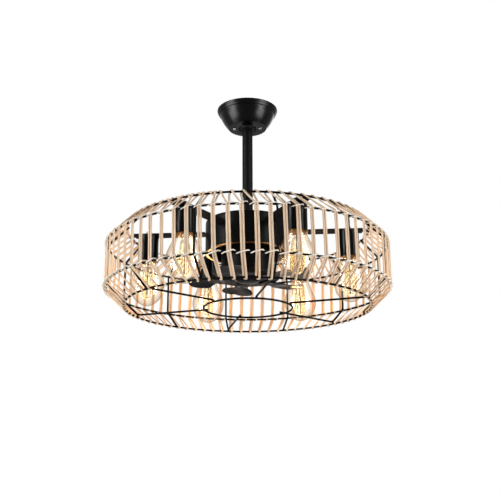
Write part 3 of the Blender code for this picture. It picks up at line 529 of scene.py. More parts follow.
def bead(centre, radii, seed):
    """A small rounded blob of weld, a little uneven."""
    bm = bmesh.new()
    bmesh.ops.create_icosphere(bm, subdivisions=2, radius=1.0)
    rng = np.random.default_rng(seed)
    verts = []
    for v in bm.verts:
        grow = 1.0 + rng.uniform(-0.08, 0.08)
        verts.append(tuple(c + v.co[i] * radii[i] * grow for i, c in enumerate(centre)))
    faces = [[v.index for v in face.verts] for face in bm.faces]
    bm.free()
    return verts, faces


def cross_bar(wide, deep, height):
    """One bar of a screw's cross recess, cut down into the head from its tip."""
    mesh = bpy.data.meshes.new("cross")
    bm = bmesh.new()
    size = Matrix.Diagonal((wide, deep, height * 1.1, 1.0))
    bmesh.ops.create_cube(bm, size=1.0, matrix=Matrix.Translation((0, 0, -height)) @ size)
    bm.to_mesh(mesh)
    bm.free()
    return link("cross", mesh)


def pan_head(radius, height):
    """A pan screw head that points down, its seat at z = 0, with a cross recess."""
    outline = [(0.0, 0.0), (radius, 0.0, 0.0), (radius, -height * 0.45, height * 0.35),
               (radius * 0.62, -height, height * 0.5), (0.0, -height)]
    mesh = new_mesh("head", lathe(outline, 24, False, steps=3))
    face_outwards(mesh)
    head = link("head", mesh)
    long, narrow = radius * 1.15, radius * 0.24
    cutters = [cross_bar(long, narrow, height), cross_bar(narrow, long, height)]
    for cutter in cutters:
        boolean = head.modifiers.new("cross", "BOOLEAN")
        boolean.operation = "DIFFERENCE"
        boolean.solver = "EXACT"
        boolean.object = cutter
    bpy.context.view_layer.update()
    evaluated = head.evaluated_get(bpy.context.evaluated_depsgraph_get()).to_mesh()
    part = [tuple(v.co) for v in evaluated.vertices], [list(p.vertices) for p in evaluated.polygons]
    for item in [head] + cutters:
        data = item.data
        bpy.data.objects.remove(item)
        bpy.data.meshes.remove(data)
    return part


# Canopy, ball and rod

def make_canopy():
    """Turned cover: a lip of two slanted steps, a slightly bulged cone and a flat floor with a hole."""
    rim, wall, bulge, hole, floor = 0.0560, 0.0012, 0.0016, 0.0168, -0.0360
    lip = [(0.0, 0.0002, 0.0), (0.0, 0.0024, 0.0008), (0.0011, 0.0044, 0.0004), (0.0015, 0.0046, 0.0002),
           (0.0015, 0.0052, 0.0002), (0.0035, 0.0086, 0.0008), (0.0048, 0.0088, 0.0003)]
    shoulder, waist = Vector((0.0515, -0.0072)), Vector((0.03675, -0.0338))
    out = outward(shoulder, waist) * bulge
    cone = [tuple(shoulder.lerp(waist, k / 12) + out * 4 * (k / 12) * (1 - k / 12)) for k in range(12)]
    outer = [(rim - inset, -depth, fillet) for inset, depth, fillet in lip] + cone[1:]
    outer += [(*waist, 0.0010), (0.0350, floor, 0.0007), (hole, floor, 0.0006)]
    inner = [(hole - 0.0003, floor + 0.0010, 0.0003), (0.0338, floor + wall, 0.0010)]
    inner += [(r - wall, z + wall / 2) for r, z in reversed(cone)] + [(0.0500, -0.0002)]
    turned_piece("canopy_shell", outer + inner, 128, [BLACK], "ceiling_mount", "satin_black", ["canopy"])


def make_canopy_screws():
    seat, foot, tip, radius = -0.0361, -0.0362, -0.0303, 0.0017
    shank = lathe([(0.0, tip), (0.0013, tip), (radius, tip - 0.0006), (radius, foot), (0.0, foot)], 20, False)
    head = pan_head(0.0033, 0.0018)
    for i, x in enumerate((0.0235, -0.0235), 1):
        screw = moved(merge([shank, moved(head, (0, 0, seat), 0.5 + i)]), (x, 0, 0))
        add_piece(f"canopy_screw_head_{i}", screw, [SCREW_STEEL], "ceiling_mount", "zinc_steel",
                  [f"canopy_screw_{i}"])


def make_ball():
    radius, bore, flat = 0.019, 0.0098, 0.012
    top, foot = math.asin(flat / radius), -math.acos(bore / radius)
    arc = [top + (foot - top) * i / 28 for i in range(29)]
    profile = [(radius * math.cos(a), BALL_Z + radius * math.sin(a)) for a in arc] + [(bore, BALL_Z + flat)]
    turned_piece("hanger_ball_moulding", profile, 72, [NYLON], "fixture", "black_nylon", ["hanger_ball"],
                 sharp=50)


def make_rod():
    top, foot, radius, bore, edge = BALL_Z + 0.0132, DRUM_TOP_Z - 0.0216, 0.0095, 0.0080, 0.0004
    profile = [(radius, top, edge), (radius, foot, edge), (bore, foot), (bore, top)]
    turned_piece("downrod_tube", profile, 72, [BLACK_ROD], "fixture", "satin_black", ["downrod"])
    roof, neck, flange, hole = DRUM_TOP_Z, 0.0109, 0.0150, radius + 0.0001
    seat, neck_top = roof + 0.0001, roof + 0.0088
    collar = [(neck, neck_top, 0.0006), (neck, roof + 0.0012, 0.0004), (flange, roof + 0.0004, 0.0003),
              (flange, seat), (hole, seat), (hole, neck_top)]
    turned_piece("rod_collar", collar, 72, [BLACK_DRUM], "fixture", "satin_black")


# Drum, motor and blades

def make_drum():
    """Open drum with a grooved roof and a lip turned inwards, with painted lamplight in gold on the lip where
    it faces the lamps.
    """
    r, top, foot = DRUM_RADIUS, DRUM_TOP_Z, DRUM_FOOT_Z
    bore, wall, lip, proud = 0.0098, 0.0015, 0.0060, 0.0002
    # The lip's underside and inner edge get the painted lamplight gold.
    lip_zones = (9, 10)
    profile = [(bore, top, 0.0003), *groove(0.0300, 0.0334, top, -0.0004), (r - 0.0005, top, 0.0034),
               (r, top - 0.0040, 0.0008), (r, foot + 0.0040, 0.0003), (r + proud, foot + 0.0030, 0.0003),
               (r + proud, foot, 0.0011), (r - lip, foot, 0.0009), (r - lip, foot + wall, 0.0003),
               (r - wall, foot + wall, 0.0003), (r - wall, foot + 0.0110), (r - wall, top - 0.0018, 0.0028),
               (bore, top - wall)]
    turned_piece("motor_drum", profile, 144, [BLACK_DRUM, PAINTED_LAMPLIGHT_GOLD_DIM], "fixture", "satin_black",
                 ["motor_housing"], second_zones=lip_zones)
    verts, faces = pan_head(0.0027, 0.0016)
    head = [(x, -y, -z) for x, y, z in verts], faces
    heads = [moved(head, polar(0.0205, math.pi / 4 + k * math.pi / 2, top + 0.0001), -k) for k in range(4)]
    add_piece("drum_roof_screws", merge(heads), [DARK_STEEL], "fixture", "zinc_steel")


def make_motor():
    """The outer rotor: an open cup round the stator, with a thin groove in its wall and a bearing seat."""
    foot, top, floor = ROTOR_FOOT_Z, ROTOR_FOOT_Z + 0.066, ROTOR_FOOT_Z + 0.004
    r, inside, edge, seat_top, groove_z = 0.0470, 0.0445, 0.0004, floor + 0.007, foot + 0.0130
    profile = [(r, top, 2 * edge), (r, groove_z + 0.0010, edge), (r - edge, groove_z + 0.0006, edge / 2),
               (r - edge, groove_z - 0.0006, edge / 2), (r, groove_z - 0.0010, edge), (r, foot, 0.0016),
               (0.0086, foot), (0.0086, floor), (0.0156, floor), (0.0156, seat_top), (0.0186, seat_top),
               (0.0186, floor), (inside, floor), (inside, top)]
    turned_piece("rotor_cup", profile, 96, [BLACK_DRUM], "rotor", "satin_black", ["motor_rotor"])


def make_hub():
    r, top, foot, bore = 0.056, HUB_TOP_Z, HUB_FOOT_Z, 0.0150
    profile = [(0.052, top, 0.0006), (r, top - 0.0020, 0.0010), (r, foot + 0.0020, 0.0010),
               (0.0520, foot, 0.0006), *groove(0.0504, 0.0480, foot, 0.0007),
               *groove(0.0290, 0.0266, foot, 0.0007), (bore, foot), (bore, top)]
    turned_piece("hub_disc", profile, 128, [BLACK_GLOSS], "rotor", "satin_black", ["blade_hub"])
    top, radius, dome = foot - REST_GAP, 0.0213, 0.0048
    profile = [(0.0, top), (radius + 0.0001, top, 0.0003), (radius + 0.0007, top - 0.0006, 0.0003)]
    for i in range(1, 12):
        a = math.pi / 2 * i / 12
        profile.append((radius * math.cos(a), top - 0.0012 - dome * math.sin(a)))
    profile.append((0.0, top - 0.0012 - dome))
    turned_piece("hub_centre_cap", profile, 96, [BLACK_GLOSS], "rotor", "satin_black", ["hub_cap"],
                 closed=False)


def smooth_curve(xs, ys, at):
    """Interpolates a table without overshoot, level at its start."""
    xs, ys = np.asarray(xs), np.asarray(ys)
    slope = np.diff(ys) / np.diff(xs)
    tangent = np.zeros(len(xs))
    for i in range(1, len(xs) - 1):
        if slope[i - 1] * slope[i] > 0:
            tangent[i] = 2 * slope[i - 1] * slope[i] / (slope[i - 1] + slope[i])
    tangent[-1] = slope[-1]
    k = np.clip(np.searchsorted(xs, at, side="right") - 1, 0, len(xs) - 2)
    h = xs[k + 1] - xs[k]
    t = (at - xs[k]) / h
    return ((2 * t ** 3 - 3 * t ** 2 + 1) * ys[k] + (t ** 3 - 2 * t ** 2 + t) * h * tangent[k]
            + (3 * t ** 2 - 2 * t ** 3) * ys[k + 1] + (t ** 3 - t ** 2) * h * tangent[k + 1])


BLADE_START = 0.030
BLADE_LENGTH = 0.076
BLADE_CHORD = 0.056
BLADE_HALF_THICKNESS = 0.0010
BLADE_PITCH = math.radians(8)
BLADE_ARCH = 0.0024
BLADE_DROP = 0.0020
BLADE_SHARES = (0.0, 0.34, 0.45, 0.59, 0.78, 0.91, 0.975, 1.0)
CHORD_SHARES = (0.42, 0.46, 0.80, 1.0, 1.0, 0.86, 0.62, 0.28)
PITCH_SHARES = (0.0, 0.0, 0.60, 1.0, 0.90, 0.78, 0.72, 0.70)


def blade_part():
    """A thin arched blade on a flat root, from the hub to the tip."""
    tip_start = 0.86
    tip = tip_start + (1 - tip_start) * np.sin(np.linspace(0, math.pi / 2, 14))[1:]
    reach = np.concatenate([np.linspace(0, tip_start, 40), tip])
    chords = smooth_curve(BLADE_SHARES, CHORD_SHARES, reach) * BLADE_CHORD
    turns = smooth_curve(BLADE_SHARES, PITCH_SHARES, reach)
    across = -0.5 * np.cos(np.linspace(0, math.pi, 19))
    edge = 0.02 * BLADE_HALF_THICKNESS
    half = (BLADE_HALF_THICKNESS - edge) * np.sqrt(np.maximum(0.0, 1 - np.abs(2 * across) ** 6)) + edge
    arch = BLADE_ARCH * (1 - 4 * across ** 2)
    wide = np.outer(chords, np.concatenate([across, across[::-1]]))
    deep = np.outer(turns, np.concatenate([arch, arch[::-1]])) + np.concatenate([half, -half[::-1]])
    middle_z, level = HUB_FOOT_Z - REST_GAP - BLADE_HALF_THICKNESS, np.zeros_like(reach)
    points = np.stack([BLADE_START + BLADE_LENGTH * reach, level, middle_z - BLADE_DROP * turns], 1)
    cosine, sine = np.cos(BLADE_PITCH * turns), np.sin(BLADE_PITCH * turns)
    side, up = np.stack([level, cosine, sine], 1), np.stack([level, -sine, cosine], 1)
    return skin(points, side, up, wide, deep, reach)


def make_blades():
    head, x, y, turn = pan_head(0.0029, 0.0015), 0.0445, 0.0062, 1.86
    seat = HUB_FOOT_Z - REST_GAP - 2 * BLADE_HALF_THICKNESS
    screws = merge([moved(head, (x, side * y, seat), side * turn) for side in (-1, 1)])
    add_round("blade", BLADE_COUNT, math.pi, blade_part(), [BLACK_GLOSS], "rotor", "satin_black",
              node="fan_blade", sharp=60)
    add_round("blade_screws", BLADE_COUNT, math.pi, screws, [DARK_STEEL], "rotor", "zinc_steel")


# Lamps

BULB_RADIUS = 0.0303
BULB_SHARES = (0.0, 0.06, 0.19, 0.34, 0.48, 0.60, 0.72, 0.84, 0.93, 0.98, 1.0)
BULB_RADIUS_SHARES = (0.445, 0.46, 0.55, 0.75, 0.935, 1.0, 0.965, 0.80, 0.54, 0.28, 0.0)
FILAMENT_LOOPS = 9
FILAMENT_SWEEP = TAU * 0.97


def bulb_outline():
    """Teardrop through the shares, as a smooth curve that meets the axis squarely at the foot."""
    widths = np.array(BULB_RADIUS_SHARES) * BULB_RADIUS
    points = np.stack([widths, GLASS_TOP_Z - GLASS_LENGTH * np.array(BULB_SHARES)], 1)
    guides = [points[0], *points, points[-1] - (widths[-2], 0.0)]
    curve = [(0.0, GLASS_TOP_Z)]
    for p0, p1, p2, p3 in zip(guides, guides[1:], guides[2:], guides[3:]):
        for t in np.arange(6) / 6:
            r, z = 0.5 * (2 * p1 + (p2 - p0) * t + (2 * p0 - 5 * p1 + 4 * p2 - p3) * t ** 2
                          + (3 * p1 - p0 - 3 * p2 + p3) * t ** 3)
            curve.append((max(r, 0.0), z))
    return curve + [tuple(points[-1])]


def base_outline():
    """Screw shell of the bulb, its thread drawn as rings, below the contact button."""
    top, foot = BULB_TOP_Z, GLASS_TOP_Z
    outline = [(0.0, top), (0.0045, top, 0.0006), (0.0050, top - 0.0014, 0.0004),
               (0.0085, top - 0.0022, 0.0004), (0.0118, top - 0.0034, 0.0006)]
    steps, radius, depth, length = 20, 0.01235, 0.00050, 0.0155
    for i in range(steps + 1):
        outline.append((radius + depth * math.cos(TAU * i / 4), top - 0.0050 - length * i / steps))
    return outline + [(0.0128, foot + 0.0030, 0.0003), (0.0129, foot + 0.0004, 0.0003), (0.0, foot + 0.0004)]


def stem_outline():
    top = GLASS_TOP_Z
    return [(0.0, top - 0.0005), (0.0100, top - 0.0005, 0.001), (0.0052, top - 0.0120, 0.003),
            (0.0034, top - 0.0240, 0.001), (0.0, top - 0.0260)]


def filament_part():
    """Squirrel-cage filament: tall loops between two rings of hooks, bowed a little outwards."""
    ends = (0.0068, GLASS_TOP_Z - 0.0290), (0.0105, GLASS_TOP_Z - 0.0780)
    bow, spots = 0.0012, 2 * FILAMENT_LOOPS
    points = []
    for i in range(spots + 1):
        r, z = ends[i % 2]
        points.append(polar(r, FILAMENT_SWEEP * i / spots, z))
    path = []
    for first, second in zip(points, points[1:]):
        for k in range(8):
            spot = first.lerp(second, k / 8)
            path.append(spot + Vector((spot.x, spot.y, 0)).normalized() * bow * math.sin(math.pi * k / 8))
    return tube(path + [points[-1]], 0.00030, 6)


def support_part():
    """Wire hooks that hold the filament's bends, on a thin rod down the middle."""
    high, low = ((0.0022, -0.0250), (0.0070, -0.0287)), ((0.0022, -0.0820), (0.0107, -0.0783))
    spots = 2 * FILAMENT_LOOPS
    rod = [(0, 0, GLASS_TOP_Z - 0.0200 - 0.0625 * k / 6) for k in range(7)]
    parts = [tube(rod, 0.0009, 10)]
    for i in range(spots):
        start, end = (polar(r, FILAMENT_SWEEP * i / spots, GLASS_TOP_Z + z) for r, z in (high, low)[i % 2])
        parts.append(tube((start, start.lerp(end, 0.5), end), 0.00022, 5))
    return merge(parts)


def nut_part():
    """Hexagon nut with a plain stub through it, on top of a lamp arm."""
    seat, height, corner = ARM_TOP_Z + 0.0001, 0.0032, 0.0072
    verts = [polar(corner, TAU * k / 6 + math.pi / 6, z) for z in (seat, seat + height) for k in range(6)]
    walls = [[k, (k + 1) % 6, 6 + (k + 1) % 6, 6 + k] for k in range(6)]
    faces = [list(range(6))[::-1], list(range(6, 12))] + walls
    radius, stub_top = 0.0048, seat + 0.0060
    stub = lathe([(0.0, seat), (radius, seat), (radius, stub_top, 0.0006), (0.0, stub_top)], 24, False)
    return merge([(verts, faces), stub])


def cup_outline():
    """Lamp cup, open downwards, with the lamp holder in it."""
    outer, inner, bore, proud = 0.01835, 0.01715, 0.0134, 0.0002
    top, mouth, holder, holder_top = SOCKET_TOP_Z, SOCKET_MOUTH_Z, HOLDER_Z, SOCKET_TOP_Z - 0.0055
    return [(0.0, top), (outer, top, 0.0016), (outer, mouth + 0.0022, 0.0002),
            (outer + proud, mouth + 0.0018, 0.0002), (outer + proud, mouth, 0.0006), (inner, mouth, 0.0004),
            (inner, holder + 0.0002, 0.0010), (bore + 0.0012, holder + 0.0002, 0.0003),
            (bore, holder, 0.0004), (bore, holder_top), (0.0, holder_top)]


def make_lamps():
    cup = lathe(cup_outline(), 72, False)
    bulb = lathe(bulb_outline(), 72, False)
    # The cup's inner wall and the lamp holder's face and bore get the painted lamplight gold.
    inside = [int(5 <= number <= 9) for number in cup[2]]
    pieces = (("lamp_cup", cup, [BLACK_CUP, PAINTED_LAMPLIGHT_GOLD], "satin_black", {"node": "lamp_socket", "zones": inside}),
              ("bulb_glass", bulb, [GLASS], "amber_glass", {"node": "bulb", "sharp": 80}),
              ("bulb_screw_base", lathe(base_outline(), 48, False), [NICKEL], "zinc_steel", {}),
              ("bulb_stem", lathe(stem_outline(), 32, False), [STEM], "amber_glass", {"sharp": 80}),
              ("bulb_filament", filament_part(), [FILAMENT], "amber_glass", {}),
              ("bulb_supports", support_part(), [SUPPORT], "zinc_steel", {}),
              ("lamp_nut", nut_part(), [DARK_STEEL], "zinc_steel", {}))
    for name, part, materials, slot, settings in pieces:
        shifted = moved(part, (LAMP_RADIUS, 0, 0))
        add_round(name, LAMP_COUNT, 0.0, shifted, materials, "fixture", slot, **settings)


# Wire cage

CORNERS = [Vector((SHOULDER_RADIUS, CAGE_TOP_Z)), Vector((WALL_RADIUS, WALL_TOP_Z)),
           Vector((WALL_RADIUS, WALL_FOOT_Z)), Vector((SHOULDER_RADIUS, CAGE_FOOT_Z))]
INNER_HOOP = Vector((INNER_RADIUS, CAGE_FOOT_Z))


def make_hoops():
    names = ("top", "upper", "lower", "bottom", "inner")
    for name, hoop, count in zip(names, CORNERS + [INNER_HOOP], (216, 216, 216, 216, 120)):
        ring = [polar(hoop.x, TAU * k / count, hoop.y) for k in range(count)]
        add_piece(f"cage_hoop_{name}", tube(ring, WIRE_COATED, 12, closed=True), [BLACK_WIRE], "fixture",
                  "satin_black", replaces=[f"cage_ring_{name}"])


def offset_corner(before, corner, after, offset):
    first, second = outward(before, corner), outward(corner, after)
    middle = (first + second).normalized()
    return corner + middle * offset / middle.dot(first)


def bent_path(points, trim, steps=7):
    """Rounds each inner corner of a flat path with an arc that starts and ends a trim away."""
    path = [points[0]]
    for before, corner, after in zip(points, points[1:], points[2:]):
        start = corner + (before - corner).normalized() * trim
        end = corner + (after - corner).normalized() * trim
        for k in range(steps + 1):
            t = k / steps
            path.append((1 - t) ** 2 * start + 2 * t * (1 - t) * corner + t ** 2 * end)
    return path + [points[-1]]


def inside_hoops(spoked, inset, over=0.0):
    """Flat path inside the hoops, from over the top one to past the bottom or the inner one."""
    hoops = CORNERS + [INNER_HOOP] if spoked else CORNERS
    (first, second), (before, last) = hoops[:2], hoops[-2:]
    past = over * 0.4 if spoked else over
    path = [first + outward(first, second) * inset - (second - first).normalized() * over]
    path += [offset_corner(*corners, inset) for corners in zip(hoops, hoops[1:], hoops[2:])]
    return path + [last + outward(before, last) * inset + (last - before).normalized() * past]


def rib_points(spoked):
    inset, over, trim = -0.0035, 0.003, 0.006
    return [(p.x, 0.0, p.y) for p in bent_path(inside_hoops(spoked, inset, over), trim)]


def weld_part(spoked):
    """Beads where a rib lies against its hoops."""
    spots, size = inside_hoops(spoked, -0.0018), (0.0017, 0.0024, 0.0017)
    return merge([bead((p.x, 0.0, p.y), size, 11 + i) for i, p in enumerate(spots)])


def make_ribs():
    for name, spoked, node, side in (("spoke", True, "cage_spoke_rib", -1), ("plain", False, "cage_rib", 1)):
        start, wire = side * math.pi / 12, tube(rib_points(spoked), WIRE_COATED, 12)
        add_round(f"{name}_rib_wire", RIB_PAIRS, start, wire, [BLACK_WIRE], "fixture", "satin_black", node)
        add_round(f"{name}_rib_welds", RIB_PAIRS, start, weld_part(spoked), [BLACK_WIRE], "fixture",
                  "satin_black", sharp=80)


# Hemp cord. Angles round a hoop's wire are in degrees, 0 outwards and 90 up.

LIFT = WIRE + REST_GAP + CORD_THICKNESS / 2
CORD_STEP = 0.0013
HALF_SPACING = 0.00180
TOP_SPREAD = 0.0020
FOOT_SPREAD = 0.0021
ARRIVAL_SPREAD = 0.0037
WINDINGS = 3
SLATS_PER_WINDING = 24
SLAT_WOBBLE = 0.00020
PITCH_WOBBLE = 0.0026
RUNS_FROM = 180
RUNS_TO = 262
SHOULDER_LEAN = math.degrees(math.atan2(WALL_RADIUS - SHOULDER_RADIUS, SHOULDER_HEIGHT))
CROSSING = math.degrees(math.asin(2 * LIFT / math.hypot(WALL_RADIUS - SHOULDER_RADIUS, SHOULDER_HEIGHT)))


def on_hoop(hoop, angle):
    a = math.radians(angle)
    return Vector((hoop.x + LIFT * math.cos(a), hoop.y + LIFT * math.sin(a)))


def lean_at(z):
    """How far a slat has drifted round the cage at a height: the cord was pulled a little askew."""
    heights = (CAGE_FOOT_Z, WALL_FOOT_Z, WALL_TOP_Z, CAGE_TOP_Z)
    return float(np.interp(z, heights, (0.0030, 0.0010, -0.0010, -0.0012)))


class Route:
    """The cord's centre line, its sideways vectors, and on which side of it the slat's other strand lies.
    Arcs and lines follow the slat at the route's azimuth, aside of its middle."""

    def __init__(self, azimuth):
        self.azimuth, self.points, self.across, self.inner = azimuth, [], [], []

    def put(self, r, z, azimuth, aside=0.0):
        azimuth += lean_at(z) / r
        self.points.append(polar(r, azimuth, z))
        self.across.append((-math.sin(azimuth), math.cos(azimuth), 0.0))
        self.inner.append(max(-1.0, min(1.0, -aside / HALF_SPACING)))

    def put_aside(self, spot, aside):
        self.put(*spot, self.azimuth + aside / spot.x, aside)

    def arc(self, hoop, start, end, first, last):
        """Round a hoop's wire, from angle to angle."""
        count = max(2, math.ceil(abs(end - start) / 18))
        for k in range(count):
            t = k / count
            self.put_aside(on_hoop(hoop, start + (end - start) * t), first + (last - first) * t)

    def line(self, start, end, first, last, bow=0.0):
        """Straight, with a bow sideways."""
        count = max(2, math.ceil((end - start).length / CORD_STEP))
        for k in range(count):
            t = k / count
            aside = first + (last - first) * t * t * (3 - 2 * t) + bow * math.sin(math.pi * t)
            self.put_aside(start.lerp(end, t), aside)

    def round_foot(self):
        """From the lower hoop to the inside of the bottom one, round it and back up."""
        lower, bottom = CORNERS[2:]
        lean, through, half, foot = SHOULDER_LEAN, SHOULDER_LEAN + CROSSING, HALF_SPACING, FOOT_SPREAD
        self.arc(lower, 0, -through, -half, -half)
        self.line(on_hoop(lower, -through), on_hoop(bottom, -through - 180), -half, -foot)
        self.arc(bottom, -through - 180, -lean, -foot, foot)
        self.line(on_hoop(bottom, -lean), on_hoop(lower, -lean), foot, half)
        self.arc(lower, -lean, 0, half, half)

    def round_top(self, first, last):
        """From the upper hoop to the inside of the top one and round it."""
        top, upper = CORNERS[:2]
        through, half = SHOULDER_LEAN + CROSSING, HALF_SPACING
        self.arc(upper, 0, through, half, half)
        self.line(on_hoop(upper, through), on_hoop(top, through + 180), half, first)
        self.arc(top, through + 180, SHOULDER_LEAN, first, last)

    def run_along(self, hoop, angle, start, end):
        """Along a hoop from azimuth to azimuth, with one turn round its wire halfway."""
        count, turn_shares, tilt = 44, (0.30, 0.70), 0.25
        for k in range(1, count):
            t = k / count
            azimuth = start + (end - start) * t
            turn = math.radians(angle) - TAU * float(np.interp(t, turn_shares, (0.0, 1.0)))
            out = Vector((math.cos(turn), math.sin(turn)))
            self.put(*(hoop + LIFT * out), azimuth)
            round_wire = Vector((-out.y * math.cos(azimuth), -out.y * math.sin(azimuth), out.x))
            self.across[-1] = tuple(Vector(self.across[-1]) * tilt + round_wire)

    def slant(self, leave, arrive, start, end):
        """Straight from the top hoop to the next slat at the upper hoop."""
        count = 34
        for k in range(count):
            t = k / count
            self.put(*leave.lerp(arrive, t), start + (end - start) * t)

    def smoothed(self):
        points = np.array(self.points)
        points[1:-1] = 0.25 * points[:-2] + 0.5 * points[1:-1] + 0.25 * points[2:]
        return points, np.array(self.across), np.array(self.inner)


def winding_route(first_slat, seed):
    """Down a slat, round the bottom hoop, back up the slat, round the top hoop, and across to the next
    slat. On the cage's front left the cord runs along the top hoop instead of slanting."""
    rng = np.random.default_rng(seed)
    top, upper, lower, _ = CORNERS
    half, lean, slats = HALF_SPACING, SHOULDER_LEAN, SLATS_PER_WINDING
    middle, leave, arrive = Vector((WALL_RADIUS + LIFT, CAGE_Z)), on_hoop(top, lean), on_hoop(upper, lean)
    wall_top, wall_foot = on_hoop(upper, 0), on_hoop(lower, 0)
    route, shift = Route(first_slat), 0.0
    route.line(middle, wall_foot, -half, -half)
    for i in range(slats):
        route.azimuth = first_slat + i * SLAT_PITCH + shift
        if i:
            route.line(wall_top, wall_foot, -half, -half, rng.normal(0.0, SLAT_WOBBLE))
        route.round_foot()
        route.line(wall_foot, wall_top, half, half, rng.normal(0.0, SLAT_WOBBLE))
        degrees = math.degrees(route.azimuth) % 360
        beside_run = RUNS_FROM < degrees < RUNS_TO + math.degrees(SLAT_PITCH)
        first = -0.0002 if beside_run else -TOP_SPREAD
        last = first + 2 * TOP_SPREAD
        route.round_top(first, last)
        begin = route.azimuth + last / leave.x
        following = 0.0 if i == slats - 1 else rng.normal(0.0, PITCH_WOBBLE)
        route.azimuth += SLAT_PITCH + following - shift
        shift = following
        if RUNS_FROM < degrees < RUNS_TO:
            route.run_along(top, lean, begin, route.azimuth - ARRIVAL_SPREAD / leave.x)
            route.line(leave, arrive, -ARRIVAL_SPREAD, -half)
        else:
            route.slant(leave, arrive, begin, route.azimuth - half / arrive.x)
        route.arc(upper, lean, 0, -half, -half)
    route.azimuth = first_slat + slats * SLAT_PITCH
    route.line(wall_top, middle, -half, -half)
    return route.smoothed()


def make_windings():
    for i in range(WINDINGS):
        route = winding_route(FIRST_SLAT + i * SLATS_PER_WINDING * SLAT_PITCH, 40 + i)
        verts, faces, uvs, painted_gap_shade = ribbon(*route)
        add_piece(f"hemp_winding_{i + 1}", (verts, faces), [HEMP], "fixture", "hemp_cord",
                  [f"cord_winding_{i + 1}"], uvs=uvs, painted_gap_shade=painted_gap_shade, sharp=80)


def lashing_points(hoop, radius, rise, seed):
    """A thin cord that binds the slats to a wall hoop: it climbs over each slat and slips behind
    the wire between two slats."""
    turns, per_turn, ramp = WINDINGS * SLATS_PER_WINDING, 20, 0.17
    inside, outside = -WIRE - radius - 0.0004, LIFT + CORD_THICKNESS / 2 + radius
    climb_shares, climb_heights = (0.0, 0.05, 0.95, 1.0), (0.0, -0.95, 0.95, 0.0)
    slack = np.repeat(np.random.default_rng(seed).normal(0.0, 0.12, turns), per_turn)
    place = np.arange(turns * per_turn) / per_turn
    share = place % 1.0
    near = np.minimum(1.0, (0.5 - abs(share - 0.5)) / ramp)
    over = near * near * (3 - 2 * near)
    climb = np.interp(share, climb_shares, climb_heights) + slack * over
    azimuth = FIRST_SLAT + (place - 0.5) * SLAT_PITCH + lean_at(hoop.y) / hoop.x
    reach = hoop.x + inside + (outside - inside) * over
    points = np.stack([reach * np.cos(azimuth), reach * np.sin(azimuth), hoop.y + rise * climb], 1)
    for _ in range(2):
        points = 0.25 * np.roll(points, 1, 0) + 0.5 * points + 0.25 * np.roll(points, -1, 0)
    return points


def make_lashings():
    for name, hoop, radius, rise, seed in (("lower", CORNERS[2], 0.00110, 0.0029, 3),
                                           ("upper", CORNERS[1], 0.00075, 0.0027, 5)):
        path = lashing_points(hoop, radius, rise, seed)
        part = tube(path, radius, 8, closed=True, plies=2, ply_depth=0.10, pitch=0.007)
        add_piece(f"hemp_lashing_{name}", part, [HEMP_THIN], "fixture", "hemp_cord", uvs=part[2], sharp=80)


# Kept CAD nodes

ARM_EDGE = 0.0005
BRACKET_EDGE = 0.0003
STEEL_NODES = ("motor_bearing", "shaft_collar", "ceiling_bracket", "hanger_pin", "rod_coupler", "coupler_pin")


def node_material(name):
    if name.startswith("lamp_arm"):
        return BLACK_ROD
    if name in STEEL_NODES:
        return STEEL
    return DARK_STEEL if name == "motor_stator" else BLACK


def dress_nodes():
    """Better finishes, and softened edges, for the nodes whose shape stays."""
    for name, node in NODES.items():
        if node.hide_render:
            continue
        node.data.materials.clear()
        node.data.materials.append(node_material(name))
        if name.startswith("lamp_arm") or name == "ceiling_bracket":
            bevel = node.modifiers.new("edge", "BEVEL")
            bevel.width = ARM_EDGE if name.startswith("lamp_arm") else BRACKET_EDGE
            bevel.segments = 3
            bevel.limit_method = "ANGLE"
            bevel.harden_normals = True


# Stage, lights and camera

def make_floor():
    """Pale paper floor that looks white by itself and keeps the object's shadow."""
    bpy.ops.mesh.primitive_plane_add(size=9.0, location=(0, 0, -2.1))
    floor = bpy.context.object
    floor.name = "studio_floor"
    s = Shader("studio_floor_paper")
    cloud = s.between(s.noise(s.place(), 3.0), 0.0, 1.0)
    paper = s.blend(cloud, rgb(0.86, 0.86, 0.86), rgb(0.89, 0.89, 0.89))
    s.set(Base_Color=paper, Roughness=0.9, Specular_IOR_Level=0.1)
    s.set(Emission_Color=paper, Emission_Strength=s.math("MULTIPLY", s.background_rays(), 0.72))
    floor.data.materials.append(s.material)


def make_world():
    """Soft grey light on the object, and plain white for the rays that show the background."""
    world = bpy.data.worlds.new("studio")
    bpy.context.scene.world = world
    world.use_nodes = True
    world.node_tree.nodes.clear()
    w = NodeTree(world.node_tree)
    lit = w.add("ShaderNodeBackground", {"Color": rgb(1, 1, 1), "Strength": 0.38})
    white = w.add("ShaderNodeBackground", {"Color": rgb(1, 1, 1), "Strength": 1.0})
    mix = w.add("ShaderNodeMixShader", {0: w.background_rays(), 1: lit.outputs[0], 2: white.outputs[0]})
    w.add("ShaderNodeOutputWorld", {"Surface": mix.outputs[0]})


def area_light(name, place, target, size, power, only_gloss=False):
    data = bpy.data.lights.new(name, "AREA")
    data.shape = "RECTANGLE"
    data.size, data.size_y = size
    data.energy = power
    light = link(name, data)
    light.location = place
    light.rotation_euler = (Vector(target) - Vector(place)).to_track_quat("-Z", "Y").to_euler()
    light.visible_diffuse = not only_gloss


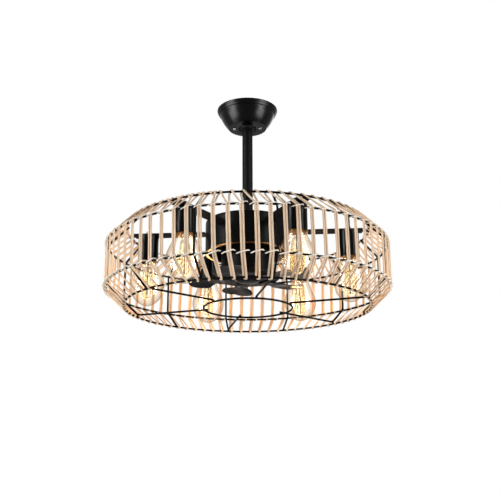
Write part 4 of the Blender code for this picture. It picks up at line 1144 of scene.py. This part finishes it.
def bulb_light(name, lamp):
    """A warm point of light in the middle of a bulb."""
    data = bpy.data.lights.new(name, "POINT")
    data.energy = 0.30
    data.color = (1.0, 0.66, 0.27)
    data.shadow_soft_size = 0.018
    light = link(name, data)
    light.location = polar(LAMP_RADIUS, TAU * lamp / LAMP_COUNT, GLASS_TOP_Z - 0.055)
    light.parent = frame["bodies"]["fixture"]


def make_lights():
    middle, canopy = (0, 0, -0.25), (0, 0, -0.02)
    area_light("left_softbox", (-1.70, -0.90, -0.35), middle, (0.55, 1.5), 27.0)
    area_light("right_softbox", (1.65, -0.80, -0.40), middle, (0.50, 1.4), 21.0)
    area_light("front_fill", (0.1, -2.4, -0.05), middle, (1.6, 0.8), 1.5)
    area_light("back_softbox", (0.4, 1.9, 0.6), middle, (1.4, 0.9), 10.0)
    area_light("left_reflector", (-1.60, -1.08, 0.25), (0, 0, 0.25), (0.70, 1.5), 134.0, only_gloss=True)
    area_light("right_reflector", (1.70, -0.90, 0.25), (0, 0, 0.25), (0.55, 1.5), 85.0, only_gloss=True)
    area_light("left_canopy_reflector", (-1.62, -0.75, -0.81), canopy, (1.2, 0.9), 115.0, only_gloss=True)
    area_light("right_canopy_reflector", (1.66, -0.75, -0.81), canopy, (1.1, 0.9), 95.0, only_gloss=True)
    for i in range(LAMP_COUNT):
        bulb_light(f"bulb_light_{i + 1}", i)


def make_camera():
    """The photograph's view, with its focal length fitted in pixels of the 500 pixel picture."""
    yaw, pitch, roll = math.radians(4.2), math.radians(16.495), math.radians(-0.2)
    focal_pixels, picture_pixels = 829.6, 500
    data = bpy.data.cameras.new("photo_camera")
    data.sensor_width = 36.0
    data.lens = data.sensor_width * focal_pixels / picture_pixels
    data.clip_start = 0.01
    camera = link("photo_camera", data)
    turn = Matrix.Rotation(yaw, 4, "Z")
    place = turn @ Vector((0.0040, -1.417, -0.691))
    camera.matrix_world = (Matrix.Translation(place) @ turn @ Matrix.Rotation(math.pi / 2 + pitch, 4, "X")
                           @ Matrix.Rotation(roll, 4, "Z"))
    bpy.context.scene.camera = camera


for make in (make_camera, make_canopy, make_canopy_screws, make_ball, make_rod, make_drum, make_motor,
             make_hub, make_blades, make_lamps, make_hoops, make_ribs, make_windings, make_lashings,
             dress_nodes, make_floor, make_world, make_lights):
    make()

bpy.context.scene.view_settings.view_transform = "Standard"
